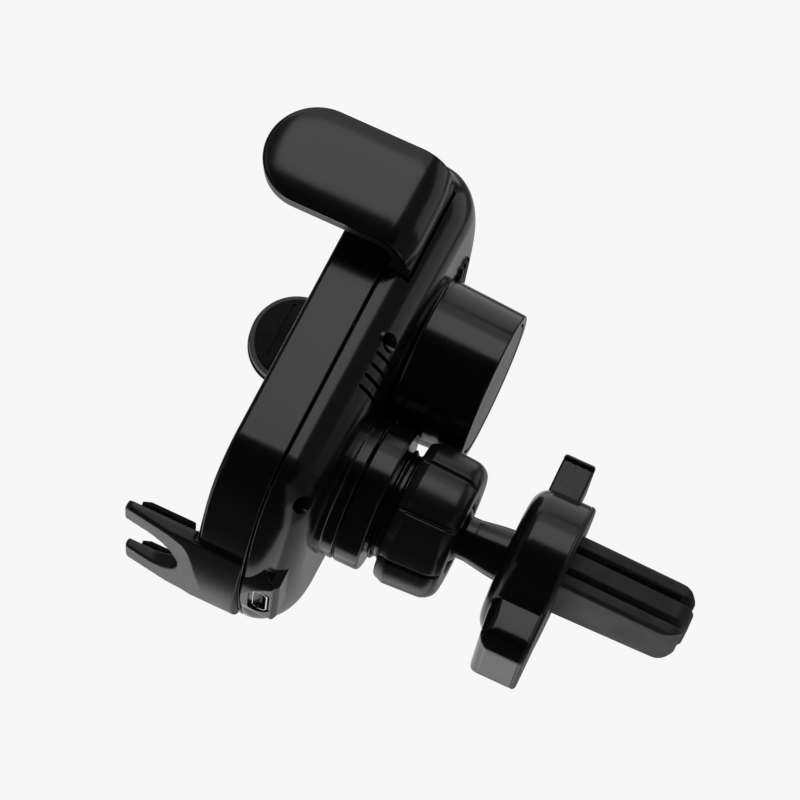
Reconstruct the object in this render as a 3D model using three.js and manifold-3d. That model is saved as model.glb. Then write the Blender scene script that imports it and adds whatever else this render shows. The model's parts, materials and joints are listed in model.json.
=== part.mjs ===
// Auto-clamping car phone mount on an air-vent clip, in millimetres.
// +X is the device's right side seen from behind, +Y points back into the vent, +Z is up.
// The origin lies on the ball joint's axis, on the clip's face that rests against the vent.
import * as THREE from "three";
import { mergeVertices } from "three/addons/utils/BufferGeometryUtils.js";
import Module from "manifold-3d";

const wasm = await Module();
wasm.setup();

// ---------------------------------------------------------------- driving dimensions

const GAP = 0.3; // between pieces that touch on the real object
const HALF_GAP = GAP / 2;

// The head's own axes have their origin where its two collar rings meet, HEAD_Y before the clip's face.
const HEAD_Y = -43.8;

const CASING = {
  halfWidth: 33.4,
  bottom: -30.6,
  top: 66,
  corner: 14,
  bow: 65,
  front: -23,
  seam: -12.5,
  back: -3.3,
  dome: 11,
  lean: 0.022,
  wall: 2,
};
const PANEL = { inset: 1.5, thick: 1.3 };
const PAD_RING = { z: 28, outer: 22, inner: 18, proud: 0.8 };
const WINDOW = { z: 57, halfLength: 6, halfWidth: 2.2 };
const COIL = { z: 28, outer: 21.4, inner: 10, thick: 1, groups: 3 };
const BOARD = { halfWidth: 20, bottom: -23.5, top: 14, front: -11.9, thick: 1.5 };
const SCREWS = [
  { x: 29.4, z: 18.2 },
  { x: 27.4, z: -19 },
];
const SCREW = { head: 1.35, shank: 0.8, seat: -9.6, top: -8.5, tip: -17.2, post: 2.6 };
const VENT_SLOTS = { count: 4, x: 26.5, lowest: 7.4, pitch: 2.6, length: 9, width: 0.8, tilt: 0.12 };
const KEY = { z: 51.6, halfHeight: 2.8, halfWidth: 7, proud: 1.8, travel: 0.8 };
const PORT = { y: -8.4, mouth: -30.4, depth: 9.8, shellWidth: 8.94, shellHeight: 3.26, wall: 0.35 };
const KEEL = { bottom: -31.4, top: -24, belly: 21, root: 13, waist: 9.4, waistY: -6.8, tail: 8.2, back: -5 };

const POD = { z: 32.3, radius: 17, endRadius: 16.1, floor: -2.4, end: 14.4, wall: 1.8 };
const COLLAR = { radius: 15, ringEnd: 5.5, neck: 11.8, neckEnd: 13.5, bore: 10, spigot: -4.4 };
const BALL = { y: 15, radius: 8.5, stem: 4.5, stemEnd: 5.5 };
const LINER = { thick: 0.4, gap: 0.2, reach: 75 };
const NUT = { front: 8.8, back: 21.6, radius: 15.5, endRadius: 14.8, bore: 12.15, lobes: 8, hole: 8.3 };
const CLAMP_RING = { front: 16.8, back: 19.4, radius: 11.8 };

const ARM = { z: 41.9, outer: 43.6, height: 22, nose: 10.3, tip: -43.2, bend: 5.5, back: -7.4 };
const ARM_LAYERS = { cover: 1.3, frame: 2.3, pad: 1.1 };
const RACK = { module: 0.8, teeth: 12, front: -12.1, back: -9.7, halfLength: 13, rail: 3.6 };
const DRIVE = { module: 0.5, teeth: 28, pinion: 10, front: -9.4, back: -7.9, shaft: 1 };
const MOTOR = { radius: 6, flat: 5, front: -2.1, back: 11.6 };

const FOOT = {
  halfWidth: 13.2,
  prong: 5.8,
  tip: -38.6,
  tipThick: 1.8,
  crotch: -26.2,
  top: -27.2,
  deep: -33.8,
  belly: 21,
};
const FOOT_TONGUE = { halfWidth: 7, front: -19.4, back: -17.8, root: -32.5, top: -8 };

const CLIP = { radius: 16, front: 31.4, back: 43.8, plate: 1, wall: 2, fillet: 4 };
const LEG = { halfWidth: 10.5, bottom: -22.4, front: 33.9, cap: 2.6 };
const LEVER = { halfWidth: 7, front: 33.5, back: 40.2, top: 22.8, pinY: 37.6, pinZ: 12, cap: 1.2 };
const PRONG = { z: 1.8, halfWidth: 8, height: 11.8, blade: 3.8, groove: 1.2, end: 69.8 };
const JAW_PIN = { y: 40.7, above: 4.6, radius: 0.9, reach: 10.2 };

// ---------------------------------------------------------------- materials

function plastic(color, roughness) {
  return new THREE.MeshStandardMaterial({ color, roughness, metalness: 0 });
}

function metal(color, roughness) {
  return new THREE.MeshStandardMaterial({ color, roughness, metalness: 1 });
}

const glossBlack = () => plastic(0x0b0b0c, 0.22);
const satinBlack = () => plastic(0x101011, 0.45);
const softBlack = () => plastic(0x0e0e0f, 0.75);
const nylon = () => plastic(0xd9d8d2, 0.5);
const boardGreen = () => plastic(0x12402a, 0.55);
const ferriteGrey = () => plastic(0x2b2b2e, 0.7);
const copper = () => metal(0xb46a3c, 0.35);
const steel = () => metal(0xb9bcc0, 0.3);

// ---------------------------------------------------------------- solids from three.js shapes

function solidOf(geometry) {
  const bare = geometry.index ? geometry : geometry.clone();
  bare.deleteAttribute("normal");
  bare.deleteAttribute("uv");
  const merged = mergeVertices(bare, 1e-4);
  const made = new wasm.Manifold(
    new wasm.Mesh({
      numProp: 3,
      vertProperties: merged.attributes.position.array,
      triVerts: new Uint32Array(merged.index.array),
    }),
  );
  return made;
}

function box(x0, x1, y0, y1, z0, z1) {
  const geometry = new THREE.BoxGeometry(x1 - x0, y1 - y0, z1 - z0);
  geometry.translate((x0 + x1) / 2, (y0 + y1) / 2, (z0 + z1) / 2);
  return solidOf(geometry);
}

// A body turned about the Y axis at (x, z), from [radius, y] points that go round the section.
function turned(profile, sides = 32, x = 0, z = 0) {
  const area = profile.reduce((sum, [r, y], i) => {
    const [r2, y2] = profile[(i + 1) % profile.length];
    return sum + r * y2 - r2 * y;
  }, 0);
  const ordered = area > 0 ? profile : [...profile].reverse();
  const points = ordered.map(([r, y]) => new THREE.Vector2(r, y));
  const touchesAxis = points.some((p) => p.x === 0);
  if (!touchesAxis) {
    points.push(points[0].clone());
  }
  const start = touchesAxis ? axisStart(points) : 0;
  const ring = touchesAxis ? [...points.slice(start), ...points.slice(0, start)] : points;
  const geometry = new THREE.LatheGeometry(ring, sides);
  geometry.translate(x, 0, z);
  return solidOf(geometry);
}

// The index of the point after which the profile runs up the axis, so that the section starts there.
function axisStart(points) {
  const count = points.length;
  return points.findIndex((p, i) => p.x === 0 && points[(i - 1 + count) % count].x === 0);
}

function drum(radius, y0, y1, sides = 32, x = 0, z = 0) {
  return turned([[0, y0], [radius, y0], [radius, y1], [0, y1]], sides, x, z);
}

// A drum along X or Z, centred on the other two axes.
function bar(axis, radius, from, to, a, b, sides = 16) {
  const geometry = new THREE.CylinderGeometry(radius, radius, to - from, sides);
  const middle = (from + to) / 2;
  if (axis === "x") {
    geometry.rotateZ(-Math.PI / 2);
    geometry.translate(middle, a, b);
  } else if (axis === "y") {
    geometry.translate(a, middle, b);
  } else {
    geometry.rotateX(Math.PI / 2);
    geometry.translate(a, b, middle);
  }
  return solidOf(geometry);
}

// An outline extruded along one axis: its two coordinates are the other two, in X, Y, Z order.
function extruded(axis, outline, from, to) {
  const points = outline.map((p) => (Array.isArray(p) ? new THREE.Vector2(p[0], p[1]) : p));
  const shape = new THREE.Shape(points);
  const geometry = new THREE.ExtrudeGeometry(shape, { depth: to - from, bevelEnabled: false });
  geometry.translate(0, 0, from);
  const swap = new THREE.Matrix4();
  if (axis === "x") {
    swap.set(0, 0, 1, 0, 1, 0, 0, 0, 0, 1, 0, 0, 0, 0, 0, 1);
  } else if (axis === "y") {
    swap.set(1, 0, 0, 0, 0, 0, 1, 0, 0, 1, 0, 0, 0, 0, 0, 1);
  }
  geometry.applyMatrix4(swap);
  const turnedOver = swap.determinant() < 0;
  return solidOf(turnedOver ? flipped(geometry) : geometry);
}

function flipped(geometry) {
  const indexed = geometry.index ? geometry : mergeVertices(geometry, 1e-6);
  const index = indexed.index.array;
  for (let i = 0; i < index.length; i += 3) {
    [index[i + 1], index[i + 2]] = [index[i + 2], index[i + 1]];
  }
  return indexed;
}

// A body through rings of points in planes of constant Y, or leaning back with height, capped at both ends.
function lofted(stations) {
  const count = stations[0].outline.length;
  const positions = [];
  stations.forEach(({ y, outline, lean = 0 }) => {
    outline.forEach((p) => positions.push(p.x, y + lean * p.y, p.y));
  });
  const index = [];
  for (let s = 0; s + 1 < stations.length; s += 1) {
    for (let i = 0; i < count; i += 1) {
      const a = s * count + i;
      const b = s * count + ((i + 1) % count);
      index.push(a, a + count, b, b, a + count, b + count);
    }
  }
  const faces = THREE.ShapeUtils.triangulateShape(stations[0].outline, []);
  const last = (stations.length - 1) * count;
  faces.forEach(([a, b, c]) => {
    index.push(a, b, c);
    index.push(last + a, last + c, last + b);
  });
  const geometry = new THREE.BufferGeometry();
  geometry.setAttribute("position", new THREE.Float32BufferAttribute(positions, 3));
  geometry.setIndex(index);
  return solidOf(geometry);
}

function join(...solids) {
  return solids.reduce((sum, solid) => sum.add(solid));
}

function cut(solid, ...tools) {
  return tools.reduce((rest, tool) => rest.subtract(tool), solid);
}

function meshOf(name, material, solid) {
  const made = solid.getMesh();
  const geometry = new THREE.BufferGeometry();
  geometry.setAttribute("position", new THREE.BufferAttribute(new Float32Array(made.vertProperties), 3));
  geometry.setIndex(new THREE.BufferAttribute(new Uint32Array(made.triVerts), 1));
  geometry.computeVertexNormals();
  const mesh = new THREE.Mesh(geometry, material);
  mesh.name = name;
  return mesh;
}

// A mesh's mirror image across the plane X = 0.
function mirroredMesh(name, mesh) {
  const geometry = flipped(mesh.geometry.clone().scale(-1, 1, 1));
  geometry.computeVertexNormals();
  const image = new THREE.Mesh(geometry, mesh.material);
  image.name = name;
  return image;
}

// ---------------------------------------------------------------- outlines

function arcPoints(cx, cy, radius, from, to, steps) {
  const points = [];
  for (let i = 0; i <= steps; i += 1) {
    const angle = THREE.MathUtils.degToRad(from + ((to - from) * i) / steps);
    points.push(new THREE.Vector2(cx + radius * Math.cos(angle), cy + radius * Math.sin(angle)));
  }
  return points;
}

// The housing's outline in X and Z: straight sides, round corners and slightly bowed ends.
function casingOutline(inset, steps = 4) {
  const { halfWidth, bottom, top, corner, bow } = CASING;
  const middle = (bottom + top) / 2;
  const halfHeight = (top - bottom) / 2;
  const bowCentre = halfHeight - bow;
  const cornerX = halfWidth - corner;
  const cornerZ = bowCentre + Math.sqrt((bow - corner) ** 2 - cornerX ** 2);
  const tangent = THREE.MathUtils.radToDeg(Math.atan2(cornerZ - bowCentre, cornerX));
  const r = corner - inset;
  const b = bow - inset;
  const right = arcPoints(cornerX, middle + cornerZ, r, 0, tangent, steps);
  const crown = arcPoints(0, middle + bowCentre, b, tangent, 180 - tangent, 6).slice(1, -1);
  const left = arcPoints(-cornerX, middle + cornerZ, r, 180 - tangent, 180, steps);
  const upper = [...right, ...crown, ...left];
  const lower = upper.map((p) => new THREE.Vector2(-p.x, 2 * middle - p.y));
  return [...upper, ...lower];
}

function casingSlab(y0, y1, inset) {
  return lofted([
    { y: y0, outline: casingOutline(inset) },
    { y: y1, outline: casingOutline(inset) },
  ]);
}

// The rear half's domed body: its sides turn in over an elliptical edge to the flat back.
function domed(front, back, inset, edge, steps) {
  const stations = [];
  for (let i = 0; i <= steps; i += 1) {
    const a = THREE.MathUtils.degToRad((90 * i) / steps);
    stations.push({
      y: front + (back - front) * Math.sin(a),
      outline: casingOutline(inset + edge * (1 - Math.cos(a))),
      lean: CASING.lean * Math.sin(a),
    });
  }
  return lofted(stations);
}

// A paddle's side: a round nose at y0, a little lower than the straight end at y1.
function stadium(y0, y1, halfHeight, z, nose = halfHeight) {
  const tip = arcPoints(y0 + nose, z, nose, 90, 270, 12);
  return [...tip, new THREE.Vector2(y1, z - halfHeight), new THREE.Vector2(y1, z + halfHeight)];
}

function roundedBox(u0, u1, v0, v1, r, steps = 4) {
  return [
    ...arcPoints(u1 - r, v1 - r, r, 0, 90, steps),
    ...arcPoints(u0 + r, v1 - r, r, 90, 180, steps),
    ...arcPoints(u0 + r, v0 + r, r, 180, 270, steps),
    ...arcPoints(u1 - r, v0 + r, r, 270, 360, steps),
  ];
}

// Gear teeth as an outline: straight flanks, thinned for backlash.
function gearOutline(cx, cz, module, teeth, phase) {
  const pitch = (module * teeth) / 2;
  const root = pitch - 1.15 * module;
  const tip = pitch + 0.85 * module;
  const step = (2 * Math.PI) / teeth;
  const points = [];
  for (let i = 0; i < teeth; i += 1) {
    const middle = phase + i * step;
    const corners = [
      [root, -0.34],
      [tip, -0.13],
      [tip, 0.13],
      [root, 0.34],
    ];
    corners.forEach(([r, share]) => {
      const angle = middle + share * step;
      points.push(new THREE.Vector2(cx + r * Math.cos(angle), cz + r * Math.sin(angle)));
    });
  }
  return points;
}

// ---------------------------------------------------------------- housing

const socketScrewHole = 2.3;
const wireHole = 3.6;
const backInner = CASING.back - CASING.wall;
const coverFront = CASING.seam + HALF_GAP;
const casingBack = CASING.seam - HALF_GAP;

function mirroredScrews() {
  return SCREWS.flatMap(({ x, z }) => [
    { x, z },
    { x: -x, z },
  ]);
}

function frontCasing() {
  const { front, wall } = CASING;
  const ledgeFront = front + PANEL.thick + GAP;
  const ledgeBack = ledgeFront + 1.2;
  const outer = lofted([
    { y: front, outline: casingOutline(0.9) },
    { y: front + 0.4, outline: casingOutline(0.3) },
    { y: front + 1.2, outline: casingOutline(0) },
    { y: casingBack - 0.4, outline: casingOutline(0) },
    { y: casingBack, outline: casingOutline(0.4) },
  ]);
  const hollow = casingSlab(ledgeBack, casingBack + 1, wall);
  const recess = casingSlab(front - 1, ledgeFront, PANEL.inset - GAP);
  const opening = casingSlab(front - 1, ledgeBack + 1, 5);
  const shell = cut(outer, hollow, recess, opening);
  const posts = mirroredScrews().flatMap(({ x, z }) => {
    const side = Math.sign(x);
    const wallX = side * (CASING.halfWidth - 1);
    const foot = ledgeBack + 1.6;
    const post = drum(SCREW.post, foot, casingBack, 12, x, z);
    const web = box(Math.min(x, wallX), Math.max(x, wallX), foot, casingBack - 1, z - 0.8, z + 0.8);
    return [post, web];
  });
  const bore = SCREW.shank + GAP;
  const holes = mirroredScrews().map(({ x, z }) => drum(bore, SCREW.tip - 0.8, casingBack + 1, 8, x, z));
  const body = join(shell, ...posts.map((post) => post.intersect(casingSlab(front, 0, 0.6))));
  return cut(body, ...holes, footTongue(GAP));
}

function chargingPanel() {
  const { front } = CASING;
  const slab = casingSlab(front, front + PANEL.thick, PANEL.inset);
  const pocket = windowOutline(GAP);
  return cut(slab, extruded("y", pocket, front - 1, front + 1));
}

function windowOutline(grow) {
  const { halfLength, halfWidth, z } = WINDOW;
  const a = halfLength + grow;
  const b = halfWidth + grow;
  return roundedBox(-a, a, z - b, z + b, b - 0.01);
}

function sensorWindow() {
  const { front } = CASING;
  return extruded("y", windowOutline(0), front + 0.1, front + 0.8);
}

function gripRing() {
  const { front } = CASING;
  const { outer, inner, proud, z } = PAD_RING;
  const y0 = front - proud;
  const y1 = front - GAP;
  return turned([[inner, y1], [outer, y1], [outer - 0.3, y0], [inner + 0.3, y0]], 40, 0, z);
}

function rearCover() {
  const { wall, dome, back } = CASING;
  const outer = domed(coverFront, back, 0, dome, 6);
  const inner = domed(coverFront - 1, backInner, wall, dome - 1, 3);
  const pod = turned(
    [[0, backInner], [POD.radius, backInner], [POD.radius, back], [POD.endRadius, POD.end], [0, POD.end]],
    32,
    0,
    POD.z,
  );
  const podBore = drum(POD.endRadius - POD.wall, POD.floor, POD.end + 1, 32, 0, POD.z);
  const collar = drum(COLLAR.radius, backInner, -HALF_GAP, 32);
  const portBlock = portHousing();
  const posts = mirroredScrews().map(({ x, z }) => {
    return drum(SCREW.post, coverFront, back, 12, x, z).intersect(outer);
  });
  const body = join(cut(outer, inner), cut(pod, podBore), collar, portBlock, ...posts);
  const screwHoles = mirroredScrews().flatMap(({ x, z }) => [
    drum(SCREW.head + 0.15, SCREW.seat - 0.2, 0, 12, x, z),
    drum(SCREW.shank + 0.2, coverFront - 1, SCREW.seat, 8, x, z),
  ]);
  const lowerRims = SCREWS.slice(1).flatMap(({ x, z }) => [rimAround(x, z), rimAround(-x, z)]);
  const slots = [1, -1].flatMap((side) => ventSlots(side));
  const armSlots = [1, -1].map((side) => armOpening(side));
  return cut(
    join(body, ...lowerRims),
    ...screwHoles,
    ...slots,
    ...armSlots,
    portCavity(),
    drum(COLLAR.bore, COLLAR.spigot - GAP, 1, 32),
    drum(socketScrewHole, backInner - 2, 0, 16),
    drum(wireHole, backInner - 2, 0, 16, 0, POD.z),
    keyOpening(),
  );
}

// The raised ring round each lower screw's well.
function rimAround(x, z) {
  const inner = SCREW.head;
  const outer = SCREW.post;
  const foot = SCREW.top;
  const lip = foot + 3.5;
  const section = [[inner, foot], [outer, foot], [outer, lip - 0.4], [outer - 0.6, lip], [inner, lip]];
  return turned(section, 12, x, z);
}

function ventSlots(side) {
  const { count, x, lowest, pitch, length, width, tilt } = VENT_SLOTS;
  const depth = 12;
  return Array.from({ length: count }, (_, i) => {
    const geometry = new THREE.BoxGeometry(length, depth, width);
    geometry.rotateY(side * tilt);
    geometry.translate(side * x, backInner, lowest + i * pitch);
    return solidOf(geometry);
  });
}

function armOpening(side) {
  const half = ARM.height / 2 + 0.4;
  const x0 = side > 0 ? 20 : -40;
  return box(x0, x0 + 20, coverFront - 1, ARM.back + 0.4, ARM.z - half, ARM.z + half);
}

// The keel under the rear cover that holds the charging inlet: it carries on the foot's rounded belly
// and narrows towards the back.
function portHousing() {
  const { bottom, top, belly, root, waist, waistY, tail, back } = KEEL;
  const plan = [
    [root, coverFront],
    [waist, waistY],
    [tail, back],
    [-tail, back],
    [-waist, waistY],
    [-root, coverFront],
  ];
  const side = [
    [coverFront, bottom],
    [back - 0.8, bottom + 1.2],
    [back, bottom + 2.2],
    [back, top],
    [coverFront, top],
  ];
  const wedge = extruded("z", [...plan].reverse(), bottom - 1, top);
  const round = bar("y", belly, coverFront - 1, 0, 0, bottom + belly, 72);
  return wedge.intersect(extruded("x", side, -root, root)).intersect(round);
}

function portCavity() {
  const { y, shellWidth, shellHeight } = PORT;
  const halfWidth = shellWidth / 2 + GAP;
  const halfHeight = shellHeight / 2 + GAP;
  const outline = roundedBox(-halfWidth, halfWidth, y - halfHeight, y + halfHeight, halfHeight - 0.01);
  return extruded("z", outline, -40, -20);
}

function usbShell() {
  const { y, mouth, depth, shellWidth, shellHeight, wall } = PORT;
  const a = shellWidth / 2;
  const b = shellHeight / 2;
  const outer = extruded("z", roundedBox(-a, a, y - b, y + b, b - 0.01), mouth, mouth + depth);
  const bore = roundedBox(-a + wall, a - wall, y - b + wall, y + b - wall, b - wall - 0.01);
  return cut(outer, extruded("z", bore, mouth - 1, mouth + depth - 1));
}

function usbTongue() {
  const { y, mouth, depth } = PORT;
  const halfWidth = 3.3;
  const halfThick = 0.35;
  return box(-halfWidth, halfWidth, y - halfThick, y + halfThick, mouth + 0.8, mouth + depth - 1 - GAP);
}

function keyOutline(grow) {
  const a = KEY.halfWidth + grow;
  const b = KEY.halfHeight + grow;
  return roundedBox(-a, a, KEY.z - b, KEY.z + b, 2 + grow);
}

function keyOpening() {
  return extruded("y", keyOutline(0.35), -8, 0);
}

function rearKey() {
  const flange = extruded("y", keyOutline(1.2), backInner - 1.2, backInner - GAP);
  const cap = extruded("y", keyOutline(0), backInner - 1, CASING.back + KEY.proud);
  const ribs = [-2, 0, 2].map((dz) => {
    const top = CASING.back + KEY.proud;
    return box(-8, 8, top - 0.5, top + 1, KEY.z + dz - 0.45, KEY.z + dz + 0.45);
  });
  return cut(join(flange, cap), ...ribs);
}

function keySwitch() {
  const back = backInner - 1.2 - KEY.travel - 0.1;
  const half = 2.4;
  const housing = box(-half, half, back - 2, back - 0.5, KEY.z - half + 0.3, KEY.z + half + 0.3);
  return join(housing, drum(1.2, back - 1, back, 12, 0, KEY.z));
}

function podCap() {
  const r = POD.endRadius - POD.wall - GAP;
  const back = POD.end - 0.1;
  const front = back - 1.7;
  return turned([[0, front], [r, front], [r, back - 0.4], [r - 0.4, back], [0, back]], 32, 0, POD.z);
}

function caseScrew(x, z) {
  const { head, shank, seat, top, tip } = SCREW;
  const dome = turned([[0, seat], [head, seat], [head, top - 0.4], [head - 0.45, top], [0, top]], 12, x, z);
  const stem = drum(shank, tip, seat + 0.1, 8, x, z);
  const arm = 0.8;
  const blade = 0.2;
  const floor = top - 0.4;
  const recess = box(x - arm, x + arm, floor, top + 1, z - blade, z + blade);
  const recessAcross = box(x - blade, x + blade, floor, top + 1, z - arm, z + arm);
  return cut(join(dome, stem), recess, recessAcross);
}

function socketScrew() {
  const radius = 3.8;
  const seat = backInner - GAP;
  const top = seat - 2.7;
  const head = turned([[0, top], [radius - 0.4, top], [radius, top + 0.5], [radius, seat], [0, seat]], 20);
  const shank = drum(1.5, seat - 0.5, 1.5, 16);
  return cut(join(head, shank), box(-2, 2, top - 1, top + 0.9, -0.35, 0.35));
}

function chassis() {
  const y0 = -16.6;
  const y1 = -15.2;
  const plate = casingSlab(y0, y1, 7.4);
  const rails = [1, -1].map((side) => {
    const z = ARM.z + side * (ARM.height / 2 - 1.2);
    return box(-17, 17, y1 - 0.2, RACK.front - GAP, z - 0.8, z + 0.8);
  });
  const window = drum(8, y0 - 1, y1 + 1, 24, 0, 8);
  const shaftHole = drum(DRIVE.shaft + 0.25, y0 - 1, y1 + 1, 16, 0, ARM.z);
  return cut(join(plate, ...rails), window, shaftHole);
}

function chargingCoil() {
  const y0 = -19.9;
  const y1 = y0 + COIL.thick;
  const groove = 0.25;
  const pitch = (COIL.outer - COIL.inner) / COIL.groups;
  const profile = [[COIL.inner, y1]];
  profile.push([COIL.inner, y0 + groove]);
  for (let i = 0; i < COIL.groups; i += 1) {
    const r = COIL.inner + i * pitch;
    profile.push([r + pitch * 0.3, y0], [r + pitch * 0.7, y0], [r + pitch, y0 + groove]);
  }
  profile.push([COIL.outer, y1]);
  return turned(profile, 28, 0, COIL.z);
}

function ferriteSheet() {
  const y0 = -18.6;
  const half = 21.8;
  return extruded("y", roundedBox(-half, half, COIL.z - half, COIL.z + half, 3), y0, y0 + 1.2);
}

function circuitBoard() {
  const { halfWidth, bottom, top, front, thick } = BOARD;
  const y1 = front + thick;
  const corner = 6;
  const outline = [
    [-halfWidth + corner, bottom],
    [halfWidth - corner, bottom],
    [halfWidth - corner, bottom + 12],
    [halfWidth, bottom + 14],
    [halfWidth, top],
    [-halfWidth, top],
    [-halfWidth, bottom + 14],
    [-halfWidth + corner, bottom + 12],
  ];
  const board = extruded("y", outline, front, y1);
  const chips = [
    box(-16, -9, y1 - 0.1, y1 + 1.2, -4, 3),
    box(10, 16, y1 - 0.1, y1 + 1.6, -3, 3),
    box(7, 12, y1 - 0.1, y1 + 1, 7, 11),
    box(-13, -7, y1 - 0.1, y1 + 1.4, 7, 12),
  ];
  return join(board, ...chips);
}

// ---------------------------------------------------------------- collar, ball joint and nut

function ballSocket() {
  const { radius, ringEnd, neck, neckEnd, bore, spigot } = COLLAR;
  const profile = [
    [0, spigot],
    [bore - GAP, spigot],
    [bore - GAP, HALF_GAP],
    [radius - 0.3, HALF_GAP],
    [radius, 0.5],
    [radius, ringEnd - 0.5],
    [radius - 0.5, ringEnd],
    [neck - 0.6, ringEnd],
  ];
  const threadPitch = 2;
  for (let y = ringEnd + 0.4; y + threadPitch < neckEnd; y += threadPitch) {
    profile.push([neck - 0.7, y], [neck, y + 0.5], [neck, y + 0.8], [neck - 0.7, y + 1.3]);
  }
  profile.push([neck - 0.7, neckEnd], [0, neckEnd]);
  const seat = sphere(BALL.radius + 2 * (LINER.thick + LINER.gap) + 0.3, 20);
  return cut(turned(profile, 28), seat, drum(1.8, spigot - 1, 2.4, 12));
}

function sphere(radius, sides) {
  const geometry = new THREE.SphereGeometry(radius, sides, sides / 2);
  geometry.translate(0, BALL.y, 0);
  return solidOf(geometry);
}

// A thin cup round the front of the ball, open towards the stem: the first or the second layer out.
function ballCup(layer) {
  const outerRadius = BALL.radius + layer * (LINER.gap + LINER.thick);
  const innerRadius = outerRadius - LINER.thick;
  const steps = 5;
  const profile = [];
  for (let i = 0; i <= steps; i += 1) {
    const a = THREE.MathUtils.degToRad((LINER.reach * i) / steps);
    profile.push([i === 0 ? 0 : outerRadius * Math.sin(a), BALL.y - outerRadius * Math.cos(a)]);
  }
  for (let i = steps; i >= 0; i -= 1) {
    const a = THREE.MathUtils.degToRad((LINER.reach * i) / steps);
    profile.push([i === 0 ? 0 : innerRadius * Math.sin(a), BALL.y - innerRadius * Math.cos(a)]);
  }
  return turned(profile, 20);
}

function ballStem() {
  const { radius, y, stem, stemEnd } = BALL;
  const profile = [[0, y - radius]];
  const cone = Math.asin(stem / radius);
  const steps = 9;
  for (let i = 1; i <= steps; i += 1) {
    const a = ((Math.PI - cone) * i) / steps;
    profile.push([radius * Math.sin(a), y - radius * Math.cos(a)]);
  }
  const floor = CLIP.front + CLIP.wall + GAP;
  profile.push([stem, 23.4], [stemEnd - 0.3, 28], [stemEnd, CLIP.front - 0.4]);
  profile.push([stemEnd, floor], [8.1, floor], [8.1, floor + 1.9], [0, floor + 1.9]);
  return turned(profile, 24);
}

function clampRing() {
  const { front, back, radius } = CLAMP_RING;
  const section = [[0, front], [radius, front], [radius, back - 0.6], [radius - 0.6, back], [0, back]];
  const ring = turned(section, 32);
  return cut(ring, sphere(BALL.radius + 0.35, 24));
}

// Broad grip lobes round the nut, parted by narrow grooves.
function clampNut() {
  const { front, back, radius, endRadius, bore, lobes, hole } = NUT;
  const round = 2.4;
  const slope = (radius - endRadius) / (back - front);
  const body = [
    [bore, front],
    [radius - 0.7, front],
    [radius, front + 0.7],
    [radius - slope * (back - front - round), back - round],
  ];
  for (let angle = 30; angle <= 90; angle += 30) {
    const a = THREE.MathUtils.degToRad(angle);
    body.push([endRadius - round + round * Math.cos(a), back - round + round * Math.sin(a)]);
  }
  body.push([hole, back], [hole, CLAMP_RING.back + GAP], [bore, CLAMP_RING.back + GAP]);
  const grooves = Array.from({ length: lobes }, (_, i) => {
    const a = (2 * Math.PI * (i + 0.5)) / lobes;
    const r = radius + 0.1;
    return bar("y", 0.9, front + 1.6, back + 1, r * Math.cos(a), r * Math.sin(a), 10);
  });
  return cut(turned(body, 32), ...grooves);
}

// ---------------------------------------------------------------- clamping arms and their drive

// One layer of an arm seen from above, between two depths inside the arm's outer skin.
function armLayer(outer, inner, endX) {
  const { bend, back, tip } = ARM;
  const cx = ARM.outer - bend;
  const cy = back - bend;
  return [
    new THREE.Vector2(ARM.outer - outer, tip - 1),
    ...arcPoints(cx, cy, bend - outer, 0, 90, 5),
    new THREE.Vector2(endX, back - outer),
    new THREE.Vector2(endX, back - inner),
    ...arcPoints(cx, cy, bend - inner, 90, 0, 5),
    new THREE.Vector2(ARM.outer - inner, tip - 1),
  ];
}

function armBlank(outline, inset) {
  const half = ARM.height / 2 - inset;
  const slab = extruded("z", outline, ARM.z - half, ARM.z + half);
  const root = ARM.back - ARM.bend;
  const paddle = extruded("x", stadium(ARM.tip + inset, root, half, ARM.z, ARM.nose - inset), -60, 60);
  return slab.intersect(join(paddle, box(-60, 60, root - 1, 0, ARM.z - half, ARM.z + half)));
}

function armCover() {
  return armBlank(armLayer(0, ARM_LAYERS.cover, 35.2), 0);
}

function armFrame(upper) {
  const start = ARM_LAYERS.cover + GAP;
  const end = start + ARM_LAYERS.frame;
  const paddle = armBlank(armLayer(start, end, 33), 0.2);
  const blockFace = ARM.back - start;
  const half = ARM.height / 2 - 0.4;
  const root = box(27.5, 36, RACK.front, blockFace, ARM.z - half, ARM.z + half);
  const side = upper ? 1 : -1;
  const pitchRadius = (RACK.module * RACK.teeth) / 2;
  const railFoot = ARM.z + side * (pitchRadius + 1.15 * RACK.module);
  const railTop = railFoot + side * RACK.rail;
  const rail = box(
    -RACK.halfLength,
    28,
    RACK.front,
    RACK.back,
    Math.min(railFoot, railTop),
    Math.max(railFoot, railTop),
  );
  return join(paddle, root, rail, rackTeeth(side, pitchRadius));
}

// Rack teeth along X: a tooth gap of the rack faces the pinion's tooth that points straight at it.
function rackTeeth(side, pitchRadius) {
  const pitch = Math.PI * RACK.module;
  const root = ARM.z + side * (pitchRadius + 1.2 * RACK.module);
  const tip = ARM.z + side * (pitchRadius - 0.85 * RACK.module);
  const teeth = [];
  for (let i = -5; i <= 4; i += 1) {
    const x = (i + 0.5) * pitch;
    const outline = [
      [x - 0.33 * pitch, root + side * 0.2],
      [x - 0.31 * pitch, root],
      [x - 0.12 * pitch, tip],
      [x + 0.12 * pitch, tip],
      [x + 0.31 * pitch, root],
      [x + 0.33 * pitch, root + side * 0.2],
    ];
    teeth.push(extruded("y", side > 0 ? outline : [...outline].reverse(), RACK.front, RACK.back));
  }
  return join(...teeth);
}

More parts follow.
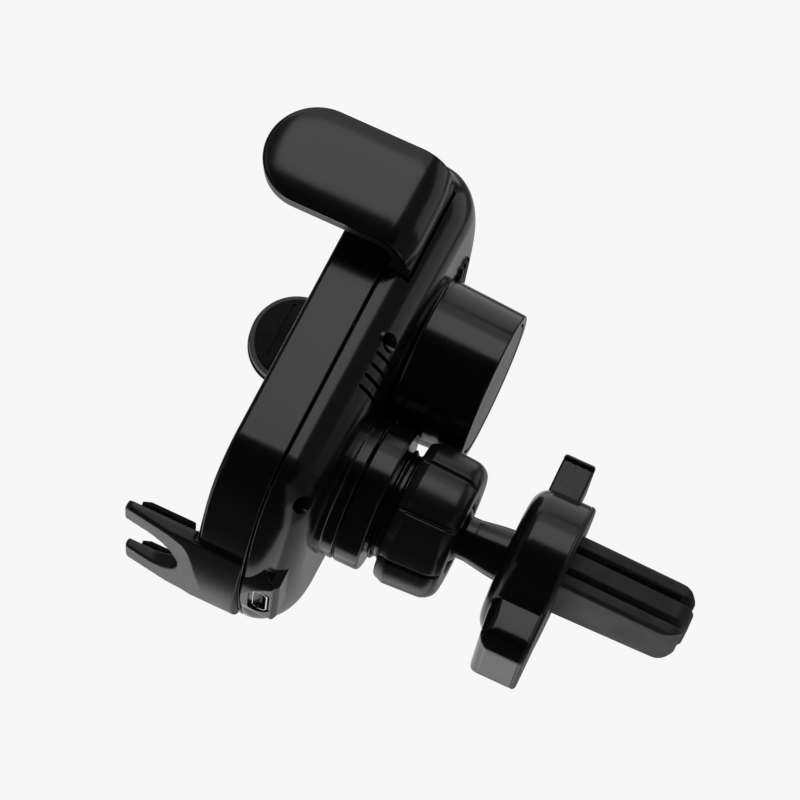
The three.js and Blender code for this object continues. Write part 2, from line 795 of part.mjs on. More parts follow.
function armPad() {
  const start = ARM_LAYERS.cover + GAP + ARM_LAYERS.frame + GAP;
  const x1 = ARM.outer - start;
  const half = ARM.height / 2 - 1.4;
  const outline = stadium(ARM.tip + 1.4, -14.5, half, ARM.z, ARM.nose - 1.4);
  const pad = extruded("x", outline, x1 - ARM_LAYERS.pad, x1);
  const ribs = Array.from({ length: 5 }, (_, i) => {
    const y = -37.5 + i * 3.2;
    return box(x1 - 2, x1 - ARM_LAYERS.pad + 0.4, y - 0.5, y + 0.5, ARM.z - 7, ARM.z + 7);
  });
  return cut(pad, ...ribs);
}

function driveGear() {
  const small = gearOutline(0, ARM.z, RACK.module, RACK.teeth, Math.PI / 2);
  const large = gearOutline(0, ARM.z, DRIVE.module, DRIVE.teeth, -Math.PI / 2);
  const pinion = extruded("y", small, RACK.front + 0.2, RACK.back);
  const wheel = extruded("y", large, DRIVE.front, DRIVE.back);
  const hub = drum(2.6, RACK.back - 0.2, DRIVE.front + 0.2, 20, 0, ARM.z);
  return cut(join(pinion, hub, wheel), drum(DRIVE.shaft + HALF_GAP, -20, 0, 16, 0, ARM.z));
}

function gearShaft() {
  return drum(DRIVE.shaft, -16.4, backInner - GAP, 16, 0, ARM.z);
}

function motorPinion() {
  const phase = Math.PI / 2 + Math.PI / DRIVE.pinion;
  const outline = gearOutline(0, POD.z, DRIVE.module, DRIVE.pinion, phase);
  const gear = extruded("y", outline, DRIVE.front, DRIVE.back);
  return join(gear, drum(0.9, DRIVE.back - 0.5, MOTOR.front - GAP, 12, 0, POD.z));
}

function driveMotor() {
  const { radius, flat, front, back } = MOTOR;
  const can = drum(radius, front, back - 1.2, 28, 0, POD.z);
  const squared = can.intersect(box(-radius, radius, front, back, POD.z - flat, POD.z + flat));
  return join(squared, drum(2.2, back - 1.5, back, 16, 0, POD.z));
}

// ---------------------------------------------------------------- foot that the phone stands on

function footBracket() {
  const { halfWidth, prong, tip, tipThick, crotch, top, deep, belly } = FOOT;
  const inner = halfWidth - prong;
  const corner = 1.6;
  const outline = [
    ...arcPoints(halfWidth - corner, tip + corner, corner, 270, 360, 3),
    new THREE.Vector2(halfWidth, casingBack),
    new THREE.Vector2(-halfWidth, casingBack),
    ...arcPoints(-halfWidth + corner, tip + corner, corner, 180, 270, 3),
    new THREE.Vector2(-inner, tip),
    ...arcPoints(0, crotch - inner, inner, 180, 0, 8),
    new THREE.Vector2(inner, tip),
  ];
  const fork = extruded("z", outline, deep - 1, top + 12);
  const side = [
    [tip - 1, top],
    [CASING.front - GAP, top],
    [CASING.front - GAP, top + 3],
    [casingBack + 1, top + 3],
    [casingBack + 1, deep],
    [-20, deep],
    [-24.5, top - 3.8],
    [tip - 1, top - tipThick],
  ];
  const under = extruded("x", [...side].reverse(), -20, 20);
  const round = bar("y", belly, -60, 0, 0, deep + belly, 64);
  const above = box(-20, 20, -60, 0, deep + 12, 0);
  const clearance = casingSlab(CASING.front - 0.01, 0, -GAP);
  return join(cut(fork.intersect(under).intersect(join(round, above)), clearance), footTongue(0));
}

// The flat tongue that runs up inside the casing and holds the foot over its whole travel.
function footTongue(grow) {
  const { halfWidth, front, back, root, top } = FOOT_TONGUE;
  return box(-halfWidth - grow, halfWidth + grow, front - grow, back + grow, root, top + grow);
}

function footPad(side) {
  const { halfWidth, prong, tip, top } = FOOT;
  const middle = side * (halfWidth - prong / 2);
  const half = prong / 2 - 0.5;
  const outline = [
    [tip + 2.8, top + GAP],
    [CASING.front - 1.2, top + GAP],
    [CASING.front - 1.8, top + GAP + 1.2],
    [tip + 4.2, top + GAP + 1.2],
    [tip + 2.8, top + GAP + 0.7],
  ];
  return extruded("x", outline, middle - half, middle + half);
}

// ---------------------------------------------------------------- vent clip

const jawSide = 38.2; // how far back the lever's heel reaches, in front of the jaws' roots
const plateFront = CLIP.back - CLIP.plate;
const shellBack = plateFront - GAP;
const clipFloor = CLIP.front + CLIP.wall;

function clipOutline(inset) {
  const r = CLIP.radius - inset;
  const w = LEG.halfWidth - inset;
  const angle = THREE.MathUtils.radToDeg(Math.asin(w / r));
  const round = arcPoints(0, 0, r, -90 + angle, 270 - angle, 28);
  const z0 = LEG.bottom + inset;
  const corner = 4;
  return [
    ...round,
    ...arcPoints(-w + corner, z0 + corner, corner, 180, 270, 3),
    ...arcPoints(w - corner, z0 + corner, corner, 270, 360, 3),
  ];
}

function clipShell() {
  const { radius, front, fillet, wall } = CLIP;
  const profile = [[0, front], [radius - fillet, front]];
  for (let angle = 22.5; angle <= 90; angle += 22.5) {
    const a = THREE.MathUtils.degToRad(angle);
    profile.push([radius - fillet + fillet * Math.sin(a), front + fillet - fillet * Math.cos(a)]);
  }
  profile.push([radius, shellBack], [0, shellBack]);
  const disc = turned(profile, 36);
  const legTop = -8;
  const seam = LEG.bottom + LEG.cap + HALF_GAP;
  const leg = box(-LEG.halfWidth, LEG.halfWidth, LEG.front, shellBack, seam, legTop);
  const inside = drum(radius - wall, clipFloor, shellBack + 1, 28);
  const legWall = LEG.halfWidth - wall;
  const legInside = box(-legWall, legWall, LEG.front + wall, shellBack + 1, seam + 1.6, legTop);
  const cheeks = [-1, 1].map((side) => {
    const x = side * 9.6;
    return box(x - 1, x + 1, clipFloor - 0.5, shellBack, PRONG.z - 8.5, PRONG.z + 8.3);
  });
  const leverSlot = box(
    -LEVER.halfWidth - 0.4,
    LEVER.halfWidth + 0.4,
    LEVER.front - 0.4,
    shellBack + 1,
    PRONG.z + 8,
    radius + 1,
  );
  const bosses = clipScrewPlaces().map(([x, z]) => drum(2, clipFloor - 0.5, shellBack, 12, x, z));
  return cut(
    join(cut(join(disc, leg), inside, legInside), ...cheeks, ...bosses),
    leverSlot,
    drum(BALL.stemEnd + 0.4, front - 1, clipFloor + 1, 32),
    bar("x", 1.15, -9.3, 9.3, LEVER.pinY, LEVER.pinZ, 12),
    ...[1, -1].map((side) => bar("x", 1.15, -12, 12, JAW_PIN.y, PRONG.z + side * JAW_PIN.above, 12)),
    ...clipScrewPlaces().map(([x, z]) => drum(0.95, 36, shellBack + 1, 8, x, z)),
  );
}

function clipScrewPlaces() {
  return [
    [11.7, -6.5],
    [-11.7, -6.5],
  ];
}

function clipPlate() {
  const plate = extruded("y", clipOutline(0), plateFront, CLIP.back);
  const window = box(
    -PRONG.halfWidth - GAP,
    PRONG.halfWidth + GAP,
    plateFront - 1,
    CLIP.back + 1,
    PRONG.z - PRONG.height / 2 - 0.8,
    PRONG.z + PRONG.height / 2 + 0.8,
  );
  const holes = clipScrewPlaces().flatMap(([x, z]) => [
    drum(0.95, plateFront - 1, CLIP.back + 1, 12, x, z),
    drum(1.8, CLIP.back - 0.7, CLIP.back + 1, 16, x, z),
  ]);
  return cut(plate, window, ...holes);
}

function clipScrew([x, z]) {
  const back = CLIP.back - 0.05;
  const section = [[0, back - 0.4], [1.5, back - 0.4], [1.5, back - 0.2], [1.2, back], [0, back]];
  const head = turned(section, 16, x, z);
  const shank = drum(0.75, 37, back - 0.3, 8, x, z);
  return join(head, shank);
}

function legCap() {
  const seam = LEG.bottom + LEG.cap - HALF_GAP;
  const outline = roundedBox(LEG.front, shellBack, LEG.bottom, seam + 4, 2.2);
  const block = extruded("x", outline, -LEG.halfWidth, LEG.halfWidth);
  return block.intersect(box(-20, 20, 30, 50, LEG.bottom - 1, seam));
}

function releaseLever() {
  const { halfWidth, front, back, top, pinY, pinZ, cap } = LEVER;
  const seam = top - cap - HALF_GAP;
  const heel = pinZ - 3.4;
  const side = [
    [front, seam],
    [front, pinZ + 0.4],
    [front + 2.2, heel],
    [jawSide, heel],
    [jawSide, pinZ - 0.6],
    [back, pinZ - 0.6],
    [back, seam],
  ];
  const tab = extruded("x", side, -halfWidth, halfWidth);
  const tongue = box(-2.4, 2.4, jawSide - 1.2, jawSide, PRONG.z + JAW_PIN.above, heel + 1);
  const flutes = [-2, 0, 2].flatMap((dy) => {
    const y = (front + back) / 2 + dy;
    const low = top - 6;
    return [1, -1].map((s) => {
      const x = s * (halfWidth + 0.7);
      return box(x - 1, x + 1, y - 0.4, y + 0.4, low, top);
    });
  });
  const springNotch = box(-2.9, 2.9, front + 1.4, back + 1, pinZ - 2.6, pinZ + 2.8);
  return cut(join(tab, tongue), ...flutes, springNotch, bar("x", 1.05, -12, 12, pinY, pinZ, 16));
}

function leverCap() {
  const { halfWidth, front, back, top, cap } = LEVER;
  return box(-halfWidth, halfWidth, front, back, top - cap + HALF_GAP, top);
}

function leverPin() {
  return bar("x", 0.9, -9, 9, LEVER.pinY, LEVER.pinZ, 12);
}

// A torsion coil round the lever's pin, as one closed round wire.
function leverSpring() {
  const turns = 3.25;
  const steps = 36;
  const radius = 1.75;
  const points = Array.from({ length: steps + 1 }, (_, i) => {
    const a = (2 * Math.PI * turns * i) / steps;
    const x = -2.1 + (4.2 * i) / steps;
    return new THREE.Vector3(x, LEVER.pinY + radius * Math.sin(a), LEVER.pinZ + radius * Math.cos(a));
  });
  const path = new THREE.CatmullRomCurve3(points);
  const wire = new THREE.Shape(arcPoints(0, 0, 0.28, 0, 300, 5));
  return solidOf(new THREE.ExtrudeGeometry(wire, { steps, extrudePath: path, bevelEnabled: false }));
}

function prongOutline(y0, z0, z1, roundTop, roundBottom) {
  const end = PRONG.end;
  const shallow = 0.4;
  const deep = Math.min(4.2, z1 - z0 - 2 * shallow);
  const a = roundBottom ? deep : shallow;
  const b = roundTop ? deep : shallow;
  return [
    new THREE.Vector2(y0, z0),
    ...arcPoints(end - a, z0 + a, a, 270, 360, 5),
    ...arcPoints(end - b, z1 - b, b, 0, 90, 5),
    new THREE.Vector2(y0, z1),
  ];
}

// A jaw outside the clip's face, tapering to its rounded end, with its root on the pivot pin inside.
function jaw(side) {
  const { z, halfWidth, height, blade, groove } = PRONG;
  const inner = z + side * (blade / 2 + groove);
  const outer = z + (side * height) / 2;
  const lowest = Math.min(inner, outer);
  const highest = Math.max(inner, outer);
  const tongue = extruded(
    "x",
    prongOutline(JAW_PIN.y, lowest, highest, side > 0, side < 0),
    -halfWidth,
    halfWidth,
  );
  const pinZ = z + side * JAW_PIN.above;
  const root = bar("x", 2, -halfWidth, halfWidth, JAW_PIN.y, pinZ, 20);
  const bed = box(-halfWidth + 1.5, halfWidth - 1.5, 50, 66.2, inner - 0.9, inner + 0.9);
  const taper = prongTaper();
  return cut(join(tongue, root).intersect(taper), bed, bar("x", 1.05, -12, 12, JAW_PIN.y, pinZ, 16));
}

// The prongs' shared plan: full width at the clip's face, a little narrower at the end.
function prongTaper() {
  const w = PRONG.halfWidth;
  const narrow = w - 1.2;
  const outline = [
    new THREE.Vector2(-w, 34),
    new THREE.Vector2(w, 34),
    new THREE.Vector2(w, 46),
    ...arcPoints(narrow - 2.6, PRONG.end - 2.6, 2.6, 8, 90, 4),
    ...arcPoints(-narrow + 2.6, PRONG.end - 2.6, 2.6, 90, 172, 4),
    new THREE.Vector2(-w, 46),
  ];
  const plan = extruded("z", outline, -20, 20);
  const z0 = PRONG.z - PRONG.height / 2;
  const z1 = PRONG.z + PRONG.height / 2;
  return plan.intersect(extruded("x", roundedBox(20, PRONG.end, z0, z1, 4.8), -20, 20));
}

function jawPad(side) {
  const { z, halfWidth, blade, groove } = PRONG;
  const inner = z + side * (blade / 2 + groove);
  const z0 = side > 0 ? inner : inner - 0.6;
  const strip = box(-halfWidth + 1.8, halfWidth - 1.8, 50.3, 65.9, z0, z0 + 0.6);
  const ribs = Array.from({ length: 5 }, (_, i) => {
    const y = 52 + i * 3;
    const face = side > 0 ? z0 - 1 : z0 + 0.35;
    return box(-9, 9, y - 0.4, y + 0.4, face, face + 1.25);
  });
  return cut(strip, ...ribs);
}

function middleBlade() {
  const { z, blade, halfWidth } = PRONG;
  const outline = prongOutline(38.2, z - blade / 2, z + blade / 2, false, false);
  const tongue = extruded("x", outline, -halfWidth, halfWidth).intersect(prongTaper());
  const floor = CLIP.front + CLIP.wall + GAP + 1.9 + GAP;
  const root = box(-halfWidth, halfWidth, floor, 38.4, z - 4, z + 3.4);
  return join(tongue, root);
}

function jawPin(side) {
  const { y, above, radius, reach } = JAW_PIN;
  return bar("x", radius, -reach, reach, y, PRONG.z + side * above, 12);
}

// ---------------------------------------------------------------- assembly

const head = new THREE.Group();
head.add(
  meshOf("front_casing", glossBlack(), frontCasing()),
  meshOf("charging_panel", satinBlack(), chargingPanel()),
  meshOf("grip_ring", softBlack(), gripRing()),
  meshOf("sensor_window", glossBlack(), sensorWindow()),
  meshOf("chassis", satinBlack(), chassis()),
  meshOf("charging_coil", copper(), chargingCoil()),
  meshOf("ferrite_sheet", ferriteGrey(), ferriteSheet()),
  meshOf("circuit_board", boardGreen(), circuitBoard()),
  meshOf("rear_cover", glossBlack(), rearCover()),
  meshOf("pod_cap", glossBlack(), podCap()),
  meshOf("rear_key", satinBlack(), rearKey()),
  meshOf("key_switch", steel(), keySwitch()),
  meshOf("usb_shell", steel(), usbShell()),
  meshOf("usb_tongue", satinBlack(), usbTongue()),
  meshOf("socket_screw", steel(), socketScrew()),
  meshOf("ball_socket", glossBlack(), ballSocket()),
  meshOf("ball_friction_cup", softBlack(), ballCup(1)),
  meshOf("ball_liner_cup", nylon(), ballCup(2)),
  meshOf("clamp_ring", nylon(), clampRing()),
  meshOf("clamp_nut", satinBlack(), clampNut()),
  meshOf("drive_gear", nylon(), driveGear()),
  meshOf("gear_shaft", steel(), gearShaft()),
  meshOf("motor_pinion", steel(), motorPinion()),
  meshOf("drive_motor", steel(), driveMotor()),
  meshOf("arm_cover_right", glossBlack(), armCover()),
  meshOf("arm_frame_right", satinBlack(), armFrame(true)),
  meshOf("arm_pad_right", softBlack(), armPad()),
  mirroredMesh("arm_cover_left", meshOf("", glossBlack(), armCover())),
  mirroredMesh("arm_frame_left", meshOf("", satinBlack(), armFrame(false))),
  mirroredMesh("arm_pad_left", meshOf("", softBlack(), armPad())),
  meshOf("foot_bracket", satinBlack(), footBracket()),
  meshOf("foot_pad_right", softBlack(), footPad(1)),
  meshOf("foot_pad_left", softBlack(), footPad(-1)),
);
mirroredScrews().forEach(({ x, z }, i) => head.add(meshOf(`case_screw_${i + 1}`, steel(), caseScrew(x, z))));

const clip = new THREE.Group();
clip.add(
  meshOf("clip_shell", glossBlack(), clipShell()),
  meshOf("clip_plate", satinBlack(), clipPlate()),
  meshOf("leg_cap", softBlack(), legCap()),
  meshOf("ball_stem", glossBlack(), ballStem()),
  meshOf("middle_blade", softBlack(), middleBlade()),
  meshOf("release_lever", satinBlack(), releaseLever()),
  meshOf("lever_cap", softBlack(), leverCap()),
  meshOf("lever_pin", steel(), leverPin()),
  meshOf("lever_spring", steel(), leverSpring()),
  meshOf("upper_jaw", satinBlack(), jaw(1)),
  meshOf("upper_jaw_pad", softBlack(), jawPad(1)),
  meshOf("upper_jaw_pin", steel(), jawPin(1)),
  meshOf("lower_jaw", satinBlack(), jaw(-1)),
  meshOf("lower_jaw_pad", softBlack(), jawPad(-1)),
  meshOf("lower_jaw_pin", steel(), jawPin(-1)),
);
clipScrewPlaces().forEach((place, i) => clip.add(meshOf(`clip_screw_${i + 1}`, steel(), clipScrew(place))));

const group = new THREE.Group();
head.position.y = HEAD_Y;
clip.position.y = HEAD_Y;
group.add(head, clip);

export default group;
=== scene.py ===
"""The looks of an auto-clamping car phone mount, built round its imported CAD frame.

Lengths below are in millimetres in the head's own axes: +X is the head's right side, +Y points
back towards the vent, +Z is up, and the origin is where the two collar rings meet. HEAD_Y brings
them to the frame's axes, whose origin is on the clip's rear face.
"""

import json
import math

import bmesh
import bpy
import numpy as np
from mathutils import Matrix, Vector

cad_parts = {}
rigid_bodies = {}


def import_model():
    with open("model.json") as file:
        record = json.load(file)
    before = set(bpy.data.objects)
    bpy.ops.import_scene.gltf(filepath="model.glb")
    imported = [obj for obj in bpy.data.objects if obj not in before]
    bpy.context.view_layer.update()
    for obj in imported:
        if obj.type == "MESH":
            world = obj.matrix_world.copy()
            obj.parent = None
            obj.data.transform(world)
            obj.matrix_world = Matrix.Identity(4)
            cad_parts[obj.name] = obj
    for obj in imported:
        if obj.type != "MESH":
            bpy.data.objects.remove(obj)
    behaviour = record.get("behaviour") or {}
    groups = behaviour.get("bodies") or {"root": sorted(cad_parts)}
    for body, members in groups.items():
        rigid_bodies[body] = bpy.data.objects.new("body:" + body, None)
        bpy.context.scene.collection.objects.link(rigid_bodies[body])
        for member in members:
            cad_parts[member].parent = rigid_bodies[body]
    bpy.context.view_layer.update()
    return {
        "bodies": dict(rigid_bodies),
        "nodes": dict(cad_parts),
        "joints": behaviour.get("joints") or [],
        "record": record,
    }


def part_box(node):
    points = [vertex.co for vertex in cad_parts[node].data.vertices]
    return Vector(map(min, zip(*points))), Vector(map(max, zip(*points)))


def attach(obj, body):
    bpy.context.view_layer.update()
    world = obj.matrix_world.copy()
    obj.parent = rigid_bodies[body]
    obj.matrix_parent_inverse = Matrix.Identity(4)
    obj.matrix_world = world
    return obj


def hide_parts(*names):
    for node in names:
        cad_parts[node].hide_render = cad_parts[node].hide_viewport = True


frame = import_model()

MM = 0.001
HEAD_Y = -43.8
SHIFT = np.array((0.0, HEAD_Y, 0.0))


def node_box(name):
    """A CAD node's corners in the head's millimetres."""
    low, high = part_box(name)
    return np.array(low) / MM - SHIFT, np.array(high) / MM - SHIFT


# ------------------------------------------------------------------ sizes taken from the frame

casing_low, casing_high = node_box("front_casing")
cover_low, cover_high = node_box("rear_cover")
CASING_HALF = casing_high[0]
CASING_BOTTOM = casing_low[2]
CASING_TOP = casing_high[2]
CASING_FRONT = casing_low[1]
SEAM_FRONT = casing_high[1]
SEAM_BACK = cover_low[1]
POD_END = cover_high[1]
CASING_BACK = -3.3
CORNER = 14.0
BOW = 65.0
DOME = 11.0
LEAN = 0.022
WALL = 2.0
KEEL_BOTTOM = -31.4
BELLY = 26
POD_Z = 32.3
POD_RADIUS = 17.0
POD_END_RADIUS = 16.1
ARM_Z = 41.9
SCREWS = ((29.4, 18.2), (27.4, -19.0))
BALL_Y = 15.0
BALL_RADIUS = 8.5
PRONG_Z = 1.8


# ------------------------------------------------------------------ outlines in two coordinates

def arc(cx, cy, radius, start, end, steps):
    angles = np.radians(np.linspace(start, end, steps + 1))
    return [(cx + radius * math.cos(a), cy + radius * math.sin(a)) for a in angles]


def rounded(corners, steps=6, closed=True):
    """An outline from (x, y, radius) corners, each turned into an arc of that radius."""
    outline = []
    count = len(corners)
    for i, (x, y, radius) in enumerate(corners):
        here = np.array((x, y), float)
        if radius <= 0 or not (closed or 0 < i < count - 1):
            outline.append((x, y))
            continue
        back = np.array(corners[i - 1][:2], float) - here
        ahead = np.array(corners[(i + 1) % count][:2], float) - here
        back /= np.linalg.norm(back)
        ahead /= np.linalg.norm(ahead)
        half = math.acos(np.clip(back @ ahead, -1, 1)) / 2
        middle = (back + ahead) / np.linalg.norm(back + ahead)
        centre = here + middle * radius / math.sin(half)
        first = here + back * radius / math.tan(half) - centre
        last = here + ahead * radius / math.tan(half) - centre
        start = math.atan2(first[1], first[0])
        turn = (math.atan2(last[1], last[0]) - start + math.pi) % (2 * math.pi) - math.pi
        for k in range(steps + 1):
            a = start + turn * k / steps
            outline.append((centre[0] + radius * math.cos(a), centre[1] + radius * math.sin(a)))
    return outline


def rounded_box(u0, u1, v0, v1, radius, steps=8):
    return rounded([(u0, v0, radius), (u1, v0, radius), (u1, v1, radius), (u0, v1, radius)], steps)


def anticlockwise(outline):
    points = np.array(outline, float)
    x, y = points[:, 0], points[:, 1]
    area = np.sum(x * np.roll(y, -1) - np.roll(x, -1) * y)
    return points if area > 0 else points[::-1]


def shrunk(outline, inset):
    """An anticlockwise outline moved inwards along its mitred corners."""
    ahead = np.roll(outline, -1, axis=0) - outline
    ahead /= np.linalg.norm(ahead, axis=1)[:, None]
    behind = np.roll(ahead, 1, axis=0)
    inward = np.stack([-ahead[:, 1] - behind[:, 1], ahead[:, 0] + behind[:, 0]], axis=1)
    scale = 1 + np.sum(ahead * behind, axis=1)
    return outline + inset * inward / np.maximum(scale, 0.3)[:, None]


def casing_outline(inset, corner_steps=14, crown_steps=22, side_steps=10):
    """The housing's outline in X and Z: straight sides, round corners and slightly bowed ends."""
    middle = (CASING_BOTTOM + CASING_TOP) / 2
    bow_centre = (CASING_TOP - CASING_BOTTOM) / 2 - BOW
    corner_x = CASING_HALF - CORNER
    corner_z = bow_centre + math.sqrt((BOW - CORNER) ** 2 - corner_x ** 2)
    tangent = math.degrees(math.atan2(corner_z - bow_centre, corner_x))
    r = CORNER - inset
    right = arc(corner_x, middle + corner_z, r, 0, tangent, corner_steps)
    crown = arc(0, middle + bow_centre, BOW - inset, tangent, 180 - tangent, crown_steps)[1:-1]
    left = arc(-corner_x, middle + corner_z, r, 180 - tangent, 180, corner_steps)
    x = CASING_HALF - inset
    side = [(-x, z) for z in np.linspace(middle + corner_z, middle - corner_z, side_steps)[1:-1]]
    upper = [*right, *crown, *left, *side]
    return np.array([*upper, *((-x, 2 * middle - z) for x, z in upper)])


# ------------------------------------------------------------------ meshes

def new_object(name, points, faces):
    mesh = bpy.data.meshes.new(name)
    mesh.from_pydata(((np.asarray(points) + SHIFT) * MM).tolist(), [], faces)
    made = bpy.data.objects.new(name, mesh)
    bpy.context.scene.collection.objects.link(made)
    work = bmesh.new()
    work.from_mesh(mesh)
    bmesh.ops.remove_doubles(work, verts=work.verts, dist=1e-7)
    bmesh.ops.dissolve_degenerate(work, edges=work.edges, dist=1e-8)
    bmesh.ops.recalc_face_normals(work, faces=work.faces)
    work.to_mesh(mesh)
    work.free()
    return made


def skin(name, rings, caps=True, loop=False):
    """A surface through closed rings of points, capped at both ends or joined end to end."""
    rings = np.asarray(rings, float)
    count, around = rings.shape[:2]
    faces = []
    for s in range(count if loop else count - 1):
        a, b = s * around, ((s + 1) % count) * around
        for i in range(around):
            j = (i + 1) % around
            faces.append((a + i, a + j, b + j, b + i))
    if caps and not loop:
        faces.append(tuple(range(around)))
        faces.append(tuple(range((count - 1) * around, count * around)))
    return new_object(name, rings.reshape(-1, 3), faces)


def lathe(name, section, sides=96, x=0.0, z=0.0):
    """A solid turned about the Y axis through (x, z), from a closed [radius, y] section."""
    rings = []
    for a in np.linspace(0, 2 * math.pi, sides, endpoint=False):
        rings.append([(x + r * math.cos(a), y, z + r * math.sin(a)) for r, y in section])
    return skin(name, rings, loop=True)


AXES = {
    "x": lambda u, v, w: np.stack([w, u, v], axis=-1),
    "y": lambda u, v, w: np.stack([u, w, v], axis=-1),
    "z": lambda u, v, w: np.stack([u, v, w], axis=-1),
}


def prism(name, outline, axis, low, high, edge=0.25, low_edge=None, steps=4):
    """An outline extruded along an axis, with a rounded edge at each end."""
    outline = anticlockwise(outline)
    low_edge = edge if low_edge is None else low_edge
    turns = np.radians(np.linspace(0, 90, steps + 1))
    levels = [(low + low_edge * (1 - math.sin(t)), low_edge * (1 - math.cos(t))) for t in turns[::-1]]
    levels += [(high - edge * (1 - math.sin(t)), edge * (1 - math.cos(t))) for t in turns]
    rings = []
    for w, inset in levels:
        ring = shrunk(outline, inset) if inset > 0 else outline
        rings.append(AXES[axis](ring[:, 0], ring[:, 1], np.full(len(ring), w)))
    return skin(name, rings)


def box(name, x0, x1, y0, y1, z0, z1, edge=0.2):
    return prism(name, [(x0, y0), (x1, y0), (x1, y1), (x0, y1)], "z", z0, z1, edge)


def drum(name, radius, y0, y1, sides=48, x=0.0, z=0.0):
    return lathe(name, [(0, y0), (radius, y0), (radius, y1), (0, y1)], sides, x, z)


def merged(name, *pieces):
    """One object that holds every piece's mesh."""
    work = bmesh.new()
    for piece in pieces:
        work.from_mesh(piece.data)
        bpy.data.objects.remove(piece)
    mesh = bpy.data.meshes.new(name)
    work.to_mesh(mesh)
    work.free()
    made = bpy.data.objects.new(name, mesh)
    bpy.context.scene.collection.objects.link(made)
    return made


def baked(piece):
    """Applies a piece's modifiers to its mesh."""
    graph = bpy.context.evaluated_depsgraph_get()
    mesh = bpy.data.meshes.new_from_object(piece.evaluated_get(graph))
    piece.modifiers.clear()
    piece.data = mesh
    return piece


def boolean(piece, operation, *tools):
    tool = merged(f"{piece.name}_tool", *tools)
    modifier = piece.modifiers.new("boolean", "BOOLEAN")
    modifier.operation = operation
    modifier.solver = "EXACT"
    modifier.use_self = len(tools) > 1
    modifier.object = tool
    baked(piece)
    bpy.data.objects.remove(tool)
    return piece


def cut(piece, *tools):
    return boolean(piece, "DIFFERENCE", *tools)


def renamed(piece, name):
    piece.name = name
    piece.data.name = name
    return piece


def mirrored(piece, name):
    """A copy of a piece on the other side of the plane X = 0."""
    mesh = piece.data.copy()
    mesh.transform(Matrix.Diagonal((-1, 1, 1, 1)))
    mesh.flip_normals()
    made = bpy.data.objects.new(name, mesh)
    bpy.context.scene.collection.objects.link(made)
    return made


def shaded(piece, angle=32):
    piece.data.polygons.foreach_set("use_smooth", [True] * len(piece.data.polygons))
    piece.data.set_sharp_from_angle(angle=math.radians(angle))
    weighted = piece.modifiers.new("weighted normals", "WEIGHTED_NORMAL")
    weighted.keep_sharp = True
    weighted.weight = 60


def dress(piece, name, body, slot, material, *nodes, angle=32):
    """Finishes a piece: its name, normals, material, body and the CAD nodes it stands for."""
    renamed(piece, name)
    shaded(piece, angle)
    piece.data.materials.clear()
    piece.data.materials.append(material)
    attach(piece, body)
    if nodes:
        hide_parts(*nodes)
    return piece


# ------------------------------------------------------------------ materials

class Nodes:
    """A material's node tree, with short calls to add and link nodes."""

    def __init__(self, name):
        self.material = bpy.data.materials.new(name)
        self.material.use_nodes = True
        self.tree = self.material.node_tree
        self.shader = self.tree.nodes["Principled BSDF"]
        self.place = self.add("ShaderNodeTexCoord").outputs["Object"]

    def add(self, kind, **values):
        node = self.tree.nodes.new(kind)
        for key, value in values.items():
            setattr(node, key, value)
        return node

    def link(self, source, target):
        self.tree.links.new(source, target)

    def noise(self, scale, detail=4.0, roughness=0.55, stretch=None):
        node = self.add("ShaderNodeTexNoise")
        node.inputs["Scale"].default_value = scale
        node.inputs["Detail"].default_value = detail
        node.inputs["Roughness"].default_value = roughness
        place = self.place
        if stretch:
            mapping = self.add("ShaderNodeMapping")
            mapping.inputs["Scale"].default_value = stretch
            self.link(place, mapping.inputs["Vector"])
            place = mapping.outputs["Vector"]
        self.link(place, node.inputs["Vector"])
        return node.outputs["Fac"]

    def ramp(self, value, stops):
        node = self.add("ShaderNodeValToRGB")
        elements = node.color_ramp.elements
        while len(elements) < len(stops):
            elements.new(0.5)
        for element, (position, colour) in zip(elements, stops):
            element.position = position
            element.color = colour if len(colour) == 4 else (*colour, 1)
        self.link(value, node.inputs["Fac"])
        return node.outputs["Color"]

    def span(self, value, low, high, start=0.3, end=0.7):
        node = self.add("ShaderNodeMapRange")
        node.inputs["From Min"].default_value = start
        node.inputs["From Max"].default_value = end
        node.inputs["To Min"].default_value = low
        node.inputs["To Max"].default_value = high
        self.link(value, node.inputs["Value"])
        return node.outputs["Result"]

    def bump(self, value, strength, distance, below=None):
        node = self.add("ShaderNodeBump")
        node.inputs["Strength"].default_value = strength
        node.inputs["Distance"].default_value = distance
        self.link(value, node.inputs["Height"])
        if below:
            self.link(below, node.inputs["Normal"])
        return node.outputs["Normal"]

    def set(self, **values):
        for name, value in values.items():
            self.shader.inputs[name.replace("_", " ")].default_value = value


def moulded(name, colour, roughness, spread, grain=0.0, coat=0.0):
    """Moulded plastic: slightly uneven colour and gloss, handling haze, and a fine spark-eroded grain."""
    n = Nodes(name)
    dark = tuple(c * 0.86 for c in colour)
    light = tuple(c * 1.2 for c in colour)
    n.link(n.ramp(n.noise(90, 3), [(0.35, dark), (0.65, light)]), n.shader.inputs["Base Color"])
    haze = n.noise(55, 6, 0.65)
    n.link(n.span(haze, roughness - spread, roughness + spread), n.shader.inputs["Roughness"])
    flow = n.bump(n.noise(38, 2), 0.05, 0.0004)
    if grain:
        flow = n.bump(n.noise(5200, 2, 0.5), grain, 0.00004, flow)
    n.link(flow, n.shader.inputs["Normal"])
    n.set(IOR=1.5, Coat_Weight=coat, Coat_Roughness=0.08)
    return n.material


